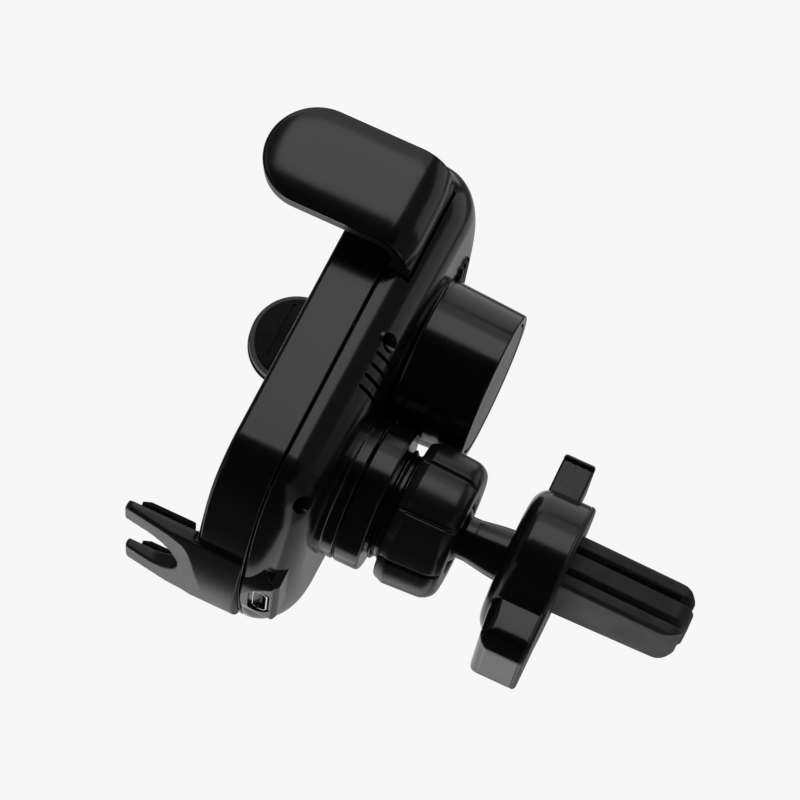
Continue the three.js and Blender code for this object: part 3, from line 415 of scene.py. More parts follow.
def silicone(name, colour, roughness, sheen=0.12, shine=0.5):
    """Soft rubber: matte, with faint dust, a skin of fine pores and a slight sheen."""
    n = Nodes(name)
    dust = n.noise(420, 8, 0.7)
    pale = tuple(c * 2.2 + 0.004 for c in colour)
    n.link(n.ramp(dust, [(0.45, colour), (0.8, pale)]), n.shader.inputs["Base Color"])
    n.link(n.span(n.noise(120, 5), roughness - 0.08, roughness + 0.08), n.shader.inputs["Roughness"])
    n.link(n.bump(n.noise(3600, 3, 0.6), 0.25, 0.00005), n.shader.inputs["Normal"])
    n.set(IOR=1.45, Specular_IOR_Level=shine, Sheen_Weight=sheen, Sheen_Roughness=0.5)
    return n.material


def turned_metal(name, colour, roughness, stretch=(1, 1, 1)):
    """Bright metal with fine drawn lines and light stains."""
    n = Nodes(name)
    stain = n.ramp(n.noise(160, 5), [(0.3, tuple(c * 0.8 for c in colour)), (0.7, colour)])
    n.link(stain, n.shader.inputs["Base Color"])
    lines = n.noise(1500, 3, 0.6, stretch)
    n.link(n.span(lines, roughness - 0.07, roughness + 0.1), n.shader.inputs["Roughness"])
    n.link(n.bump(lines, 0.15, 0.00003), n.shader.inputs["Normal"])
    n.set(Metallic=1.0)
    return n.material


def nylon_plastic(name):
    n = Nodes(name)
    n.link(n.ramp(n.noise(140, 4), [(0.3, (0.6, 0.59, 0.54)), (0.7, (0.72, 0.71, 0.66))]),
           n.shader.inputs["Base Color"])
    n.link(n.span(n.noise(600, 3), 0.38, 0.52), n.shader.inputs["Roughness"])
    n.link(n.bump(n.noise(900, 3), 0.12, 0.00005), n.shader.inputs["Normal"])
    n.set(Subsurface_Weight=0.1, Subsurface_Scale=0.001)
    return n.material


def copper_coil(name):
    """Enamelled wire wound flat: fine rings round the coil's axis."""
    n = Nodes(name)
    mapping = n.add("ShaderNodeMapping")
    mapping.inputs["Location"].default_value = (0, 0, -0.028)
    n.link(n.place, mapping.inputs["Vector"])
    wave = n.add("ShaderNodeTexWave", wave_type="RINGS", rings_direction="Y")
    wave.inputs["Scale"].default_value = 420
    wave.inputs["Distortion"].default_value = 0.3
    n.link(mapping.outputs["Vector"], wave.inputs["Vector"])
    n.link(n.ramp(wave.outputs["Fac"], [(0.2, (0.3, 0.12, 0.05)), (0.7, (0.75, 0.38, 0.2))]),
           n.shader.inputs["Base Color"])
    n.link(n.bump(wave.outputs["Fac"], 0.6, 0.0001), n.shader.inputs["Normal"])
    n.set(Metallic=1.0, Roughness=0.32, Coat_Weight=0.4)
    return n.material


def ferrite_ceramic(name):
    n = Nodes(name)
    n.link(n.ramp(n.noise(900, 8, 0.7), [(0.3, (0.02, 0.02, 0.023)), (0.75, (0.05, 0.05, 0.055))]),
           n.shader.inputs["Base Color"])
    n.link(n.bump(n.noise(1800, 4), 0.3, 0.00006), n.shader.inputs["Normal"])
    n.set(Roughness=0.7)
    return n.material


def solder_resist(name):
    """A printed board: green lacquer over copper tracks."""
    n = Nodes(name)
    bricks = n.add("ShaderNodeTexBrick")
    bricks.inputs["Scale"].default_value = 260
    bricks.inputs["Mortar Size"].default_value = 0.03
    bricks.inputs["Color1"].default_value = (0.008, 0.06, 0.03, 1)
    bricks.inputs["Color2"].default_value = (0.01, 0.075, 0.037, 1)
    bricks.inputs["Mortar"].default_value = (0.02, 0.13, 0.06, 1)
    turn = n.add("ShaderNodeMapping")
    turn.inputs["Rotation"].default_value = (math.pi / 2, 0, 0)
    n.link(n.place, turn.inputs["Vector"])
    n.link(turn.outputs["Vector"], bricks.inputs["Vector"])
    n.link(bricks.outputs["Color"], n.shader.inputs["Base Color"])
    n.link(n.bump(bricks.outputs["Fac"], 0.3, 0.00003), n.shader.inputs["Normal"])
    n.set(Roughness=0.35)
    return n.material


GLOSS = moulded("gloss_black_plastic", (0.0042, 0.0042, 0.0046), 0.17, 0.03)
SATIN = moulded("satin_black_plastic", (0.0075, 0.0075, 0.008), 0.36, 0.05, grain=0.12)
NUT_SATIN = moulded("nut_black_plastic", (0.0065, 0.0065, 0.007), 0.27, 0.04, grain=0.06)
INNER = moulded("inner_black_plastic", (0.02, 0.02, 0.022), 0.5, 0.06, grain=0.2)
WINDOW = moulded("sensor_window_plastic", (0.016, 0.003, 0.005), 0.08, 0.02, coat=1.0)
RUBBER = silicone("soft_black_silicone", (0.0085, 0.0085, 0.009), 0.55)
PAD_RUBBER = silicone("pad_black_silicone", (0.004, 0.004, 0.0044), 0.66, 0.03, 0.2)
STEEL = turned_metal("plated_steel", (0.62, 0.63, 0.65), 0.24, (1, 6, 1))
TIN = turned_metal("inlet_steel", (0.72, 0.73, 0.75), 0.18, (1, 1, 8))
SPRING = turned_metal("spring_steel", (0.4, 0.41, 0.43), 0.3)
NYLON = nylon_plastic("natural_nylon")
COPPER = copper_coil("enamelled_copper_wire")
FERRITE = ferrite_ceramic("ferrite")
BOARD = solder_resist("circuit_board_lacquer")


# ------------------------------------------------------------------ housing

def front_casing():
    section = rounded([
        (0, SEAM_FRONT, 0.4), (0, CASING_FRONT, 1.1), (1.3, CASING_FRONT, 0.12),
        (1.3, CASING_FRONT + 1.5, 0), (5, CASING_FRONT + 1.5, 0), (5, CASING_FRONT + 2.8, 0),
        (WALL, CASING_FRONT + 2.8, 0), (WALL, SEAM_FRONT, 0)], 5)
    rings = []
    for inset, y in section:
        ring = casing_outline(inset)
        rings.append(AXES["y"](ring[:, 0], ring[:, 1], np.full(len(ring), y)))
    band = skin("shell", rings, loop=True)
    cut(band, box("foot_slot", -7.3, 7.3, -19.7, -17.5, -40, -26, 0))
    dress(band, "casing_band", "head", "gloss_housing", GLOSS, "front_casing")


def charging_panel():
    low, high = node_box("charging_panel")
    panel = prism("panel", casing_outline(1.5), "y", low[1], high[1], 0.15, low_edge=0.45)
    window = node_box("sensor_window")
    pocket = stadium_outline(window, 0.25)
    cut(panel, prism("pocket", pocket, "y", low[1] - 1, high[1] - 0.25, 0))
    dress(panel, "charging_plate", "head", "satin_plastic", SATIN, "charging_panel")
    glass = prism("glass", stadium_outline(window, 0), "y", window[0][1], window[1][1], 0.05, 0.2)
    dress(glass, "infrared_window", "head", "window_plastic", WINDOW, "sensor_window")


def stadium_outline(corners, grow):
    low, high = corners
    half = (high[2] - low[2]) / 2 + grow
    return rounded_box(low[0] - grow, high[0] + grow, low[2] - grow, high[2] + grow, half - 0.01, 12)


def grip_ring():
    low, high = node_box("grip_ring")
    z = (low[2] + high[2]) / 2
    outer = high[0]
    inner = outer - 4
    front, back = low[1], high[1]
    section = [(inner, back)]
    beads = 4
    width = (outer - inner) / beads
    for i in range(beads):
        middle = inner + width * (i + 0.5)
        section += arc(middle, front + width / 2, width / 2 * 0.98, 180, 360, 8)
    section.append((outer, back))
    dress(lathe("ring", section, 160, 0, z), "grip_ring_rubber", "head", "soft_rubber", RUBBER, "grip_ring")


def dome_rings(front, back, inset, edge, steps):
    rings = []
    for t in np.radians(np.linspace(0, 90, steps + 1)):
        ring = casing_outline(inset + edge * (1 - math.cos(t)))
        y = front + (back - front) * math.sin(t) + LEAN * math.sin(t) * ring[:, 1]
        rings.append(AXES["y"](ring[:, 0], ring[:, 1], y))
    return rings


def dome_shell():
    """The rear half: a rounded seam edge, the dome, and the same again WALL further in."""
    outer = dome_rings(SEAM_BACK, CASING_BACK, 0, DOME, 26)
    lip = []
    for inset, y in arc(0.4, SEAM_BACK + 0.4, 0.4, 270, 180, 5):
        ring = casing_outline(inset)
        lip.append(AXES["y"](ring[:, 0], ring[:, 1], np.full(len(ring), y)))
    outer = [*lip, *[r for r in outer if r[:, 1].min() > SEAM_BACK + 0.45]]
    inner = dome_rings(SEAM_BACK, CASING_BACK - WALL, WALL, DOME - 1, 8)
    count = len(outer[0])
    points = np.concatenate([np.concatenate(outer), np.concatenate(inner)])
    faces = []
    for s in range(len(outer) - 1):
        faces += [(s * count + i, s * count + (i + 1) % count, (s + 1) * count + (i + 1) % count,
                   (s + 1) * count + i) for i in range(count)]
    first = len(outer) * count
    for s in range(len(inner) - 1):
        a = first + s * count
        faces += [(a + i, a + (i + 1) % count, a + count + (i + 1) % count, a + count + i)
                  for i in range(count)]
    faces += [(i, (i + 1) % count, first + (i + 1) % count, first + i) for i in range(count)]
    last = (len(outer) - 1) * count
    faces.append(tuple(range(last, last + count)))
    last = first + (len(inner) - 1) * count
    faces.append(tuple(range(last, last + count)))
    return new_object("dome", points, faces)


def vent_slot(side, z):
    slot = prism("slot", rounded_box(-4.5, 4.5, -0.42, 0.42, 0.4, 5), "y", -12, 3, 0)
    slot.data.transform(Matrix.Rotation(side * 0.12, 4, "Y"))
    slot.data.transform(Matrix.Translation((side * 26.5 * MM, 0, z * MM)))
    return slot


def port_block():
    """The inlet's keel: it carries on the foot's rounded belly and narrows towards the back."""
    low, high = node_box("usb_shell")
    y = (low[1] + high[1]) / 2
    plan = rounded([(16.5, SEAM_BACK, 0), (9.4, -6.6, 1.2), (8.2, -5, 0.9), (-8.2, -5, 0.9),
                    (-9.4, -6.6, 1.2), (-16.5, SEAM_BACK, 0)], 6)
    block = prism("block", plan, "z", -33, -18, 0)
    side = rounded([(SEAM_BACK, KEEL_BOTTOM, 0), (-5.8, KEEL_BOTTOM + 1.2, 1.4), (-5, KEEL_BOTTOM + 2.4, 0.6),
                    (-5, -19, 0), (SEAM_BACK, -19, 0)], 6)
    boolean(block, "INTERSECT", prism("side", side, "x", -18, 18, 0))
    boolean(block, "INTERSECT", drum("belly", BELLY, SEAM_BACK - 1, 0, 240, 0, KEEL_BOTTOM + BELLY))
    softened(block, 0.17, 3)
    width, height = high[0] + 0.32, (high[1] - low[1]) / 2 + 0.32
    mouth = prism("mouth", rounded_box(-width, width, y - height, y + height, height - 0.01, 12), "z",
                  -36, -19.5, 0)
    lead_in = prism("lead_in", rounded_box(-width - 0.4, width + 0.4, y - height - 0.3, y + height + 0.3,
                                           height + 0.29, 12), "z", -36, low[2] + 0.3, 0)
    cut(block, mouth)
    return cut(block, lead_in)


def rear_cover():
    dome = dome_shell()
    block = port_block()
    holes = [drum("hole", 1.9, -9.9, 3, 40, x, z) for x, z in screw_places()]
    slots = [vent_slot(side, 7.4 + 2.6 * i) for side in (1, -1) for i in range(4)]
    windows = [box("arm_window", *((20, 40) if side > 0 else (-40, -20)), SEAM_BACK - 1, -7.0,
                   ARM_Z - 11.4, ARM_Z + 11.4, 0) for side in (1, -1)]
    key_low, key_high = node_box("rear_key")
    key_z = (key_low[2] + key_high[2]) / 2
    key_hole = prism("key_hole", rounded_box(-7.35, 7.35, key_z - 3.15, key_z + 3.15, 2.35), "y", -8, 3, 0)
    bore = drum("bore", 10, -4.7, 3, 64)
    cut(dome, *holes, *slots, *windows, key_hole, bore)
    wells = []
    for (x, z), top in zip(screw_places(), (-6.6, -6.6, -8.5, -8.5)):
        section = [(0.9, -9.9), (2.3, -9.9), (2.3, top), (1.9, top), (1.9, -9.7), (0.9, -9.7)]
        wells.append(lathe("well", section, 40, x, z))
    base = CASING_BACK - 1
    flare = 1.3
    pod_rim = rounded([(POD_RADIUS - 0.05, 0, 0), (POD_END_RADIUS, POD_END, 0.5),
                       (POD_END_RADIUS - 1.6, POD_END, 0.25), (POD_END_RADIUS - 1.7, POD_END - 1.9, 0)], 6)
    pod_section = [(0, POD_END - 1.9), (0, POD_END - 2.9), (12, POD_END - 2.9), (12, base),
                   *arc(POD_RADIUS + flare, CASING_BACK + flare + 0.6, flare, 225, 180, 6), *pod_rim]
    pod = lathe("pod", pod_section, 160, 0, POD_Z)
    ring_end = -0.15
    collar_section = [(10, -4.7), (10, ring_end), *arc(14.55, ring_end - 0.45, 0.45, 90, 0, 5),
                      *arc(15.9, CASING_BACK + 1.1, 0.9, 180, 230, 4), (15.4, base - 1.5),
                      (10.6, base - 1.5)]
    collar = lathe("collar", collar_section, 144)
    cover = merged("cover", dome, block, pod, collar, *wells)
    dress(cover, "rear_shell", "head", "gloss_housing", GLOSS, "rear_cover")


def screw_places():
    return [(side * x, z) for x, z in SCREWS for side in (1, -1)]


def pod_cap():
    low, high = node_box("pod_cap")
    r = high[0]
    back = high[1]
    section = rounded([(0, low[1], 0), (r, low[1], 0), (r, back, 0.5), (0, back, 0)], 5)
    dress(lathe("cap", section, 160, 0, POD_Z), "pod_end_cap", "head", "satin_plastic", NUT_SATIN, "pod_cap")


def rear_key():
    low, high = node_box("rear_key")
    z = (low[2] + high[2]) / 2
    top = high[1]
    cap = prism("cap", rounded_box(-7, 7, z - 2.8, z + 2.8, 2), "y", low[1] + 0.6, top, 0.35, 0)
    ribs = [prism("rib", rounded_box(-8.5, 8.5, z + dz - 0.5, z + dz + 0.5, 0.3, 3), "y",
                  top - 0.5, top + 2, 0.0) for dz in (-1.9, 0, 1.9)]
    cut(cap, *ribs)
    flange = prism("flange", rounded_box(-8.1, 8.1, z - 3.9, z + 3.9, 3), "y", low[1], low[1] + 0.85, 0.1)
    dress(merged("key", cap, flange), "back_key", "rear_key", "satin_plastic", SATIN, "rear_key")


def inlet():
    low, high = node_box("usb_shell")
    y = (low[1] + high[1]) / 2
    half = (high[1] - low[1]) / 2
    wall = 0.32
    stages = [(0, high[2]), (0, low[2] + 0.12), (0.12, low[2]), (wall - 0.05, low[2]),
              (wall, low[2] + 0.08), (wall, high[2] - 0.9)]
    rings = []
    for inset, z in stages:
        ring = np.array(rounded_box(-high[0] + inset, high[0] - inset, y - half + inset, y + half - inset,
                                    half - inset - 0.005, 12))
        rings.append(AXES["z"](ring[:, 0], ring[:, 1], np.full(len(ring), z)))
    dress(skin("can", rings), "inlet_can", "head", "steel", TIN, "usb_shell")
    t_low, t_high = node_box("usb_tongue")
    tongue = prism("tongue", rounded_box(t_low[0], t_high[0], t_low[1], t_high[1], 0.2, 3), "z",
                   t_low[2], t_high[2], 0.1)
    dress(tongue, "inlet_tongue", "head", "inner_plastic", INNER, "usb_tongue")
    for i in range(12):
        x = -2.75 + 0.5 * i
        for side in (-1, 1):
            face = y + side * 0.36
            pin = box(f"pin_{i}", x - 0.12, x + 0.12, face - 0.03, face + 0.03, t_low[2] + 0.5, t_high[2], 0)
            dress(pin, f"inlet_contact_{i + 1}_{'front' if side < 0 else 'back'}", "head", "steel", TIN)


def case_screws():
    for i, (x, z) in enumerate(screw_places()):
        head = lathe("screw", rounded([
            (0, -17.2, 0), (0.6, -17.2, 0), (0.8, -16.5, 0), (0.8, -9.6, 0), (1.35, -9.6, 0.1),
            (1.35, -8.95, 0.15), (0.9, -8.5, 0.2), (0, -8.5, 0)], 4), 32, x, z)
        blades = [box("blade", x - a, x + a, -8.95, -8, z - b, z + b, 0)
                  for a, b in ((0.75, 0.16), (0.16, 0.75))]
        cut(head, *blades)
        dress(head, f"cross_screw_{i + 1}", "head", "steel", STEEL, f"case_screw_{i + 1}")


# ------------------------------------------------------------------ ball joint, collar and nut

def ball_socket():
    """Collar ring B with its seam, the threaded neck and the hollow seat round the ball."""
    ring_end, neck, neck_end, front = 5.5, 11.8, 13.5, 0.15
    section = [(0, -4.3), (9.7, -4.3), (9.7, front), *arc(14.55, front + 0.45, 0.45, 270, 360, 5),
               *arc(14.4, ring_end - 0.6, 0.6, 0, 90, 6), (neck - 0.8, ring_end)]
    pitch = 2.0
    for k in range(4):
        y = ring_end + 0.35 + pitch * k
        section += [(neck - 0.8, y), (neck - 0.1, y + 0.5), (neck, y + 0.62), (neck, y + 0.8),
                    (neck - 0.1, y + 0.92), (neck - 0.8, y + 1.42)]
    seat = BALL_RADIUS + 1.5
    mouth = math.degrees(math.asin((neck_end - BALL_Y) / seat))
    section += [(neck - 1.2, neck_end), *arc(0, BALL_Y, seat, mouth, -80, 20), (1.8, -4.0), (0, -4.0)]
    dress(lathe("socket", section, 144), "threaded_socket", "head", "gloss_housing", GLOSS, "ball_socket")


def clamp_nut():
    """Broad grip lobes round the nut, parted by narrow flat-bottomed grooves, with a rounded rear edge."""
    low, high = node_box("clamp_nut")
    front, back = low[1], high[1]
    lobes, sides = 8, 640
    angles = np.linspace(0, 2 * math.pi, sides, endpoint=False)
    share = (angles * lobes / (2 * math.pi) + 0.5) % 1
    across = np.abs(share - 0.5) * 2
    lobe = 1 / (1 + np.exp((across - 0.93) * 120))
    section = rounded([(12.15, front, 0.3), (14.6, front, 0.8), (15.5, front + 2.2, 1.5), (14.9, back, 3.4),
                       (8.3, back, 0.7), (8.3, 19.7, 0), (12.15, 19.7, 0)], 10)
    points = []
    for r, y in section:
        reach = np.clip((y - front - 1.0) / 0.9, 0, 1)
        reach = reach * reach * (3 - 2 * reach)
        outside = np.clip((r - 12.6) / 1.6, 0, 1)
        crown = -0.45 * across ** 2 * outside
        groove = -0.6 * (1 - lobe) * reach * outside
        radius = r + crown + groove
        ring = [radius * np.cos(angles), np.full(sides, y), radius * np.sin(angles)]
        points.append(np.stack(ring, axis=-1))
    nut = skin("nut", points, loop=True)
    dress(nut, "lobed_nut", "clamp_nut", "satin_nut", NUT_SATIN, "clamp_nut", angle=50)


def ball_stem():
    back = node_box("ball_stem")[1][1]
    stem, neck = 5.5, 4.5
    start = math.degrees(math.asin(neck / BALL_RADIUS))
    floor = 33.7
    ball = arc(0, BALL_Y, BALL_RADIUS, -88, 90 - start, 44)
    neckline = rounded([(*ball[-1], 0), (neck, 24.0, 1.2), (stem - 0.3, 28.4, 8), (stem, 31.2, 0),
                        (stem, floor, 0), (8.1, floor, 0), (8.1, back, 0)], 8, closed=False)
    section = [(0, BALL_Y - BALL_RADIUS), *ball[:-1], *neckline, (0, back)]
    dress(lathe("stem", section, 112), "ball_and_stem", "clip", "gloss_housing", GLOSS, "ball_stem")


# ------------------------------------------------------------------ arms

ARM_OUTER = 43.6
ARM_BEND = 8.0
ARM_BACK = -7.4
ARM_TIP = -43.2
ARM_HALF = 11.0
ARM_NOSE = 10.3


def on_bend(distance, depth):
    """Where a point lies on an arm's bent layer: distance past the bend's start, depth inside its skin."""
    radius = ARM_BEND - depth
    start = ARM_BACK - ARM_BEND
    turn = distance / ARM_BEND
    if turn <= 0:
        return ARM_OUTER - depth, start + distance
    if turn <= math.pi / 2:
        return ARM_OUTER - ARM_BEND + radius * math.cos(turn), start + radius * math.sin(turn)
    beyond = distance - ARM_BEND * math.pi / 2
    return ARM_OUTER - ARM_BEND - beyond, ARM_BACK - depth


def paddle_ring(inset, length, depth):
    """The arm's outline moved in by inset, wrapped round the bend: lower edge, nose, upper edge."""
    start = ARM_BACK - ARM_BEND
    centre = ARM_TIP + ARM_NOSE - start
    turns = np.radians(np.linspace(0, 90, 26))
    along = [*(centre - (ARM_NOSE - inset) * np.cos(turns)), *np.linspace(centre, length, 56)[1:]]
    up = [*((ARM_HALF - inset) * np.sin(turns)), *([ARM_HALF - inset] * 55)]
    upper = [(*on_bend(s, depth), ARM_Z + z) for s, z in zip(along, up)]
    lower = [(x, y, 2 * ARM_Z - z) for x, y, z in upper[:0:-1]]
    return lower + upper


def arm_layer(name, outer, thick, edge, end, inset, dome=0.0):
    """One bent layer of an arm, with its outer edge rounded by edge and ladders of strips as its faces."""
    length = ARM_BEND * math.pi / 2 + ARM_OUTER - ARM_BEND - end
    turns = np.radians(np.linspace(90, 0, 8))
    levels = [(outer + edge * (1 - math.sin(t)), edge * (1 - math.cos(t))) for t in turns[::-1]]
    levels.sort()
    if dome:
        steps_in = (6.6, 5.6, 4.6, 3.7, 2.9, 2.2, 1.6, 1.1, 0.7, 0.35)
        crown = [(outer + dome * (1 - step / 7) ** 2, edge + step) for step in steps_in]
        levels = [(outer, edge + 7), *crown, *((depth + dome, shrink) for depth, shrink in levels)]
    levels += [(outer + thick - 0.2, 0), (outer + thick - 0.06, 0.06), (outer + thick, 0.2)]
    rings = [paddle_ring(inset + shrink, length, depth) for depth, shrink in levels]
    around = len(rings[0])
    faces = []
    for s in range(len(rings) - 1):
        faces += [(s * around + i, s * around + (i + 1) % around, (s + 1) * around + (i + 1) % around,
                   (s + 1) * around + i) for i in range(around)]
    for first in (0, (len(rings) - 1) * around):
        half = around // 2
        faces += [(first + i, first + i + 1, first + around - 2 - i, first + around - 1 - i)
                  for i in range(half - 1)]
        faces.append((first + half - 1, first + half, first + half + 1))
    return new_object(name, np.concatenate(rings), faces)


def rack_teeth(side):
    module, teeth = 0.8, 12
    pitch = math.pi * module
    root = ARM_Z + side * (module * teeth / 2 + 1.2 * module)
    tip = ARM_Z + side * (module * teeth / 2 - 0.85 * module)
    made = []
    for i in range(-5, 5):
        x = (i + 0.5) * pitch
        flank = [(-0.33, root + side * 0.2), (-0.31, root), (-0.12, tip), (0.12, tip), (0.31, root),
                 (0.33, root + side * 0.2)]
        made.append(prism("tooth", [(x + share * pitch, z) for share, z in flank], "y", -12.1, -9.7, 0.05))
    return made


def arm_pieces():
    """The right arm's cover, frame and pad, as objects on the right side."""
    cover = arm_layer("cover", 0, 1.3, 0.6, 35.2, 0, dome=0.9)
    side_root = 0.8 * 12 / 2 + 1.15 * 0.8
    frame_paddle = arm_layer("frame", 1.6, 2.3, 0.35, 33, 0.25)
    root = box("root", 25, 35.1, -12.1, -7.5, ARM_Z - 10.6, ARM_Z + 10.6, 0.3)
    rail = box("rail", -13, 28, -12.1, -9.7, ARM_Z + side_root, ARM_Z + side_root + 3.6, 0.15)
    frame = merged("frame", frame_paddle, root, rail, *rack_teeth(1))
    low, high = node_box("arm_pad_right")
    nose = (high[2] - low[2]) / 2
    outline = [*arc(low[1] + nose, ARM_Z, nose, 90, 270, 40), (high[1], ARM_Z - nose),
               (high[1], ARM_Z + nose)]
    pad = prism("pad", outline, "x", low[0], high[0], 0.1, 0.45, 5)
    ribs = []
    for i in range(7):
        y = low[1] + 5.4 + i * 2.6
        ribs.append(prism("rib", rounded_box(y - 0.45, y + 0.45, ARM_Z - 7.2, ARM_Z + 7.2, 0.44, 6), "x",
                          low[0] - 1, low[0] + 0.4, 0.1))
    cut(pad, *ribs)
    return cover, frame, pad


def arms():
    cover, right_frame, pad = arm_pieces()
    left = [mirrored(piece, "left") for piece in (cover, pad)]
    left_frame = mirrored(right_frame, "left_frame")
    flip = Matrix.Translation((0, 0, ARM_Z * MM)) @ Matrix.Diagonal((1, 1, -1, 1))
    flip = flip @ Matrix.Translation((0, 0, -ARM_Z * MM))
    left_frame.data.transform(flip)
    left_frame.data.flip_normals()
    for side, parts in (("right", (cover, right_frame, pad)), ("left", (left[0], left_frame, left[1]))):
        body = f"arm_{side}"
        dress(parts[0], f"clamp_arm_shell_{side}", body, "gloss_housing", GLOSS, f"arm_cover_{side}")
        dress(parts[1], f"clamp_arm_core_{side}", body, "satin_plastic", SATIN, f"arm_frame_{side}")
        dress(parts[2], f"clamp_arm_pad_{side}", body, "soft_rubber", PAD_RUBBER, f"arm_pad_{side}")


# ------------------------------------------------------------------ foot

def softened(piece, voxel, rounds, factor=0.5):
    """Remeshes a solid evenly and relaxes it, which rounds its edges as a mould would."""
    remesh = piece.modifiers.new("remesh", "REMESH")
    remesh.mode = "VOXEL"
    remesh.voxel_size = voxel * MM
    remesh.use_smooth_shade = True
    relax = piece.modifiers.new("relax", "SMOOTH")
    relax.factor = factor
    relax.iterations = rounds
    return baked(piece)


def foot():
    low, high = node_box("foot_bracket")
    half, tip, deep = high[0], low[1], low[2]
    top = -27.2
    prong, crotch = 5.8, -26.2
    inner = half - prong
    side = rounded([(tip, top, 0.5), (tip, top - 1.9, 0.8), (-24.5, top - 3.9, 6), (-20.5, deep - 0.05, 5),
                    (SEAM_FRONT, deep - 0.05, 0.3), (SEAM_FRONT, -20, 0), (CASING_FRONT - 0.4, -20, 0),
                    (CASING_FRONT - 0.4, top, 0)], 8)
    block = prism("block", side, "x", -half, half, 0.6, 0.6, 5)
    notch = [*arc(0, crotch - inner, inner, 0, 180, 40), (-inner, tip - 2), (inner, tip - 2)]
    hollow = prism("hollow", casing_outline(-0.3), "y", CASING_FRONT - 0.3, 0, 0)
    tips = [prism("tip", rounded([(x0, tip - 3, 0), (x0 + 3 * s, tip - 3, 0), (x0 + 3 * s, tip + 2.4, 0),
                                  (x0 + 0.7 * s, tip + 0.2, 0), (x0, tip + 0.2, 0)], 3), "z", -40, -20, 0)
            for x0, s in ((half - 1.6, 1), (-half + 1.6, -1))]
    cut(block, prism("notch", notch, "z", -40, -18, 0))
    cut(block, hollow)
    cut(block, *tips)
    boolean(block, "INTERSECT", drum("belly", BELLY, -60, 0, 160, 0, deep + BELLY))
    softened(block, 0.26, 3)
    lips = []
    for sign in (1, -1):
        across = sorted((sign * (half - 1.5), sign * (half - 0.02)))
        lips.append(prism("lip", rounded_box(*across, -29.9, -28.75, 0.5, 6), "y", CASING_FRONT - 0.6,
                          SEAM_FRONT - 0.15, 0.45))
    tongue = box("tongue", -7, 7, -19.4, -17.8, -32.5, node_box("foot_bracket")[1][2], 0.3)
    block = merged("foot", block, tongue, *lips)
    dress(block, "fork_foot", "foot", "satin_plastic", SATIN, "foot_bracket", angle=60)
    for name, sign in (("right", 1), ("left", -1)):
        p_low, p_high = node_box(f"foot_pad_{name}")
        outline = rounded([
            (p_low[1], p_low[2], 0), (p_high[1], p_low[2], 0), (p_high[1] - 0.5, p_high[2], 0.5),
            (p_low[1] + 1.6, p_high[2], 0.6), (p_low[1], p_low[2] + 0.6, 0)], 4)
        pad = prism("pad", outline, "x", p_low[0], p_high[0], 0.35, 0.35)
        dress(pad, f"fork_pad_{name}", "foot", "soft_rubber", PAD_RUBBER, f"foot_pad_{name}")


# ------------------------------------------------------------------ vent clip

CLIP_FRONT = 31.4
CLIP_SHELL_BACK = 42.74
CLIP_BACK = 43.8
CLIP_RADIUS = 16.0
LEG_HALF = 10.5
LEG_BOTTOM = -22.4
LEG_SEAM = -19.8


def leg_form(name):
    """The whole leg under the disc: its sides lean out a little and its lower end is well rounded."""
    far = CLIP_BACK
    round_end = 4.0
    side = rounded([(33.9, LEG_BOTTOM, 2.6), (far, LEG_BOTTOM, 0), (far, -4, 0), (32.2, -4, 0),
                    (32.9, -13.2, 4)], 10)
    leg = prism(name, side, "x", -LEG_HALF, LEG_HALF, 1.4, 1.4, 8)
    heights = np.linspace(-3, LEG_BOTTOM + round_end, 40)
    above = np.minimum(heights - heights[-1], 7)
    right = [*zip(LEG_HALF - 0.011 * above ** 2, heights),
             *arc(LEG_HALF - round_end, LEG_BOTTOM + round_end, round_end, 0, -90, 16)[1:]]
    flanks = prism("flanks", right + [(-x, z) for x, z in right[::-1]], "y", 30, far + 1, 0)
    boolean(leg, "INTERSECT", flanks)
    plan = rounded([(-LEG_HALF, 33, 3.4), (LEG_HALF, 33, 3.4), (LEG_HALF, far, 0.9),
                    (-LEG_HALF, far, 0.9)], 10)
    boolean(leg, "INTERSECT", prism("plan", plan, "z", -30, 0, 0))
    return softened(leg, 0.22, 10)


def clip_shell():
    """The disc with its wide front fillet, and the leg's upper part that drops from it."""
    far = CLIP_SHELL_BACK + 2
    section = [(0, CLIP_FRONT), *arc(CLIP_RADIUS - 4.2, CLIP_FRONT + 4.2, 4.2, 270, 360, 20),
               (CLIP_RADIUS, far), (0, far)]
    disc = lathe("disc", section, 200)
    leg = leg_form("leg")
    cut(leg, box("below_seam", -20, 20, 20, 60, -40, LEG_SEAM, 0))
    boolean(disc, "UNION", leg)
    lever_low, lever_high = node_box("release_lever")
    half = lever_high[0] + 0.4
    cut(disc,
        drum("inside", CLIP_RADIUS - 2, CLIP_FRONT + 2, far + 1, 120),
        box("leg_inside", -8.5, 8.5, 35.9, far + 1, LEG_SEAM + 1.6, -8, 0),
        box("lever_slot", -half, half, lever_low[1] - 0.4, far + 1, PRONG_Z + 8, 17, 0),
        drum("stem_hole", 5.9, CLIP_FRONT - 1, CLIP_FRONT + 3, 80))
    softened(disc, 0.2, 3)
    cut(disc, box("rear", -20, 20, CLIP_SHELL_BACK, far + 2, -30, 20, 0))
    dress(disc, "clip_housing", "clip", "gloss_housing", GLOSS, "clip_shell", angle=60)
    boss_places = [(side * 11.7, -6.5) for side in (1, -1)]
    for i, (x, z) in enumerate(boss_places):
        boss = lathe("boss", [(0.95, CLIP_FRONT + 1.8), (2, CLIP_FRONT + 1.8), (2, CLIP_SHELL_BACK),
                              (0.95, CLIP_SHELL_BACK)], 32, x, z)
        dress(boss, f"clip_boss_{i + 1}", "clip", "gloss_housing", GLOSS)


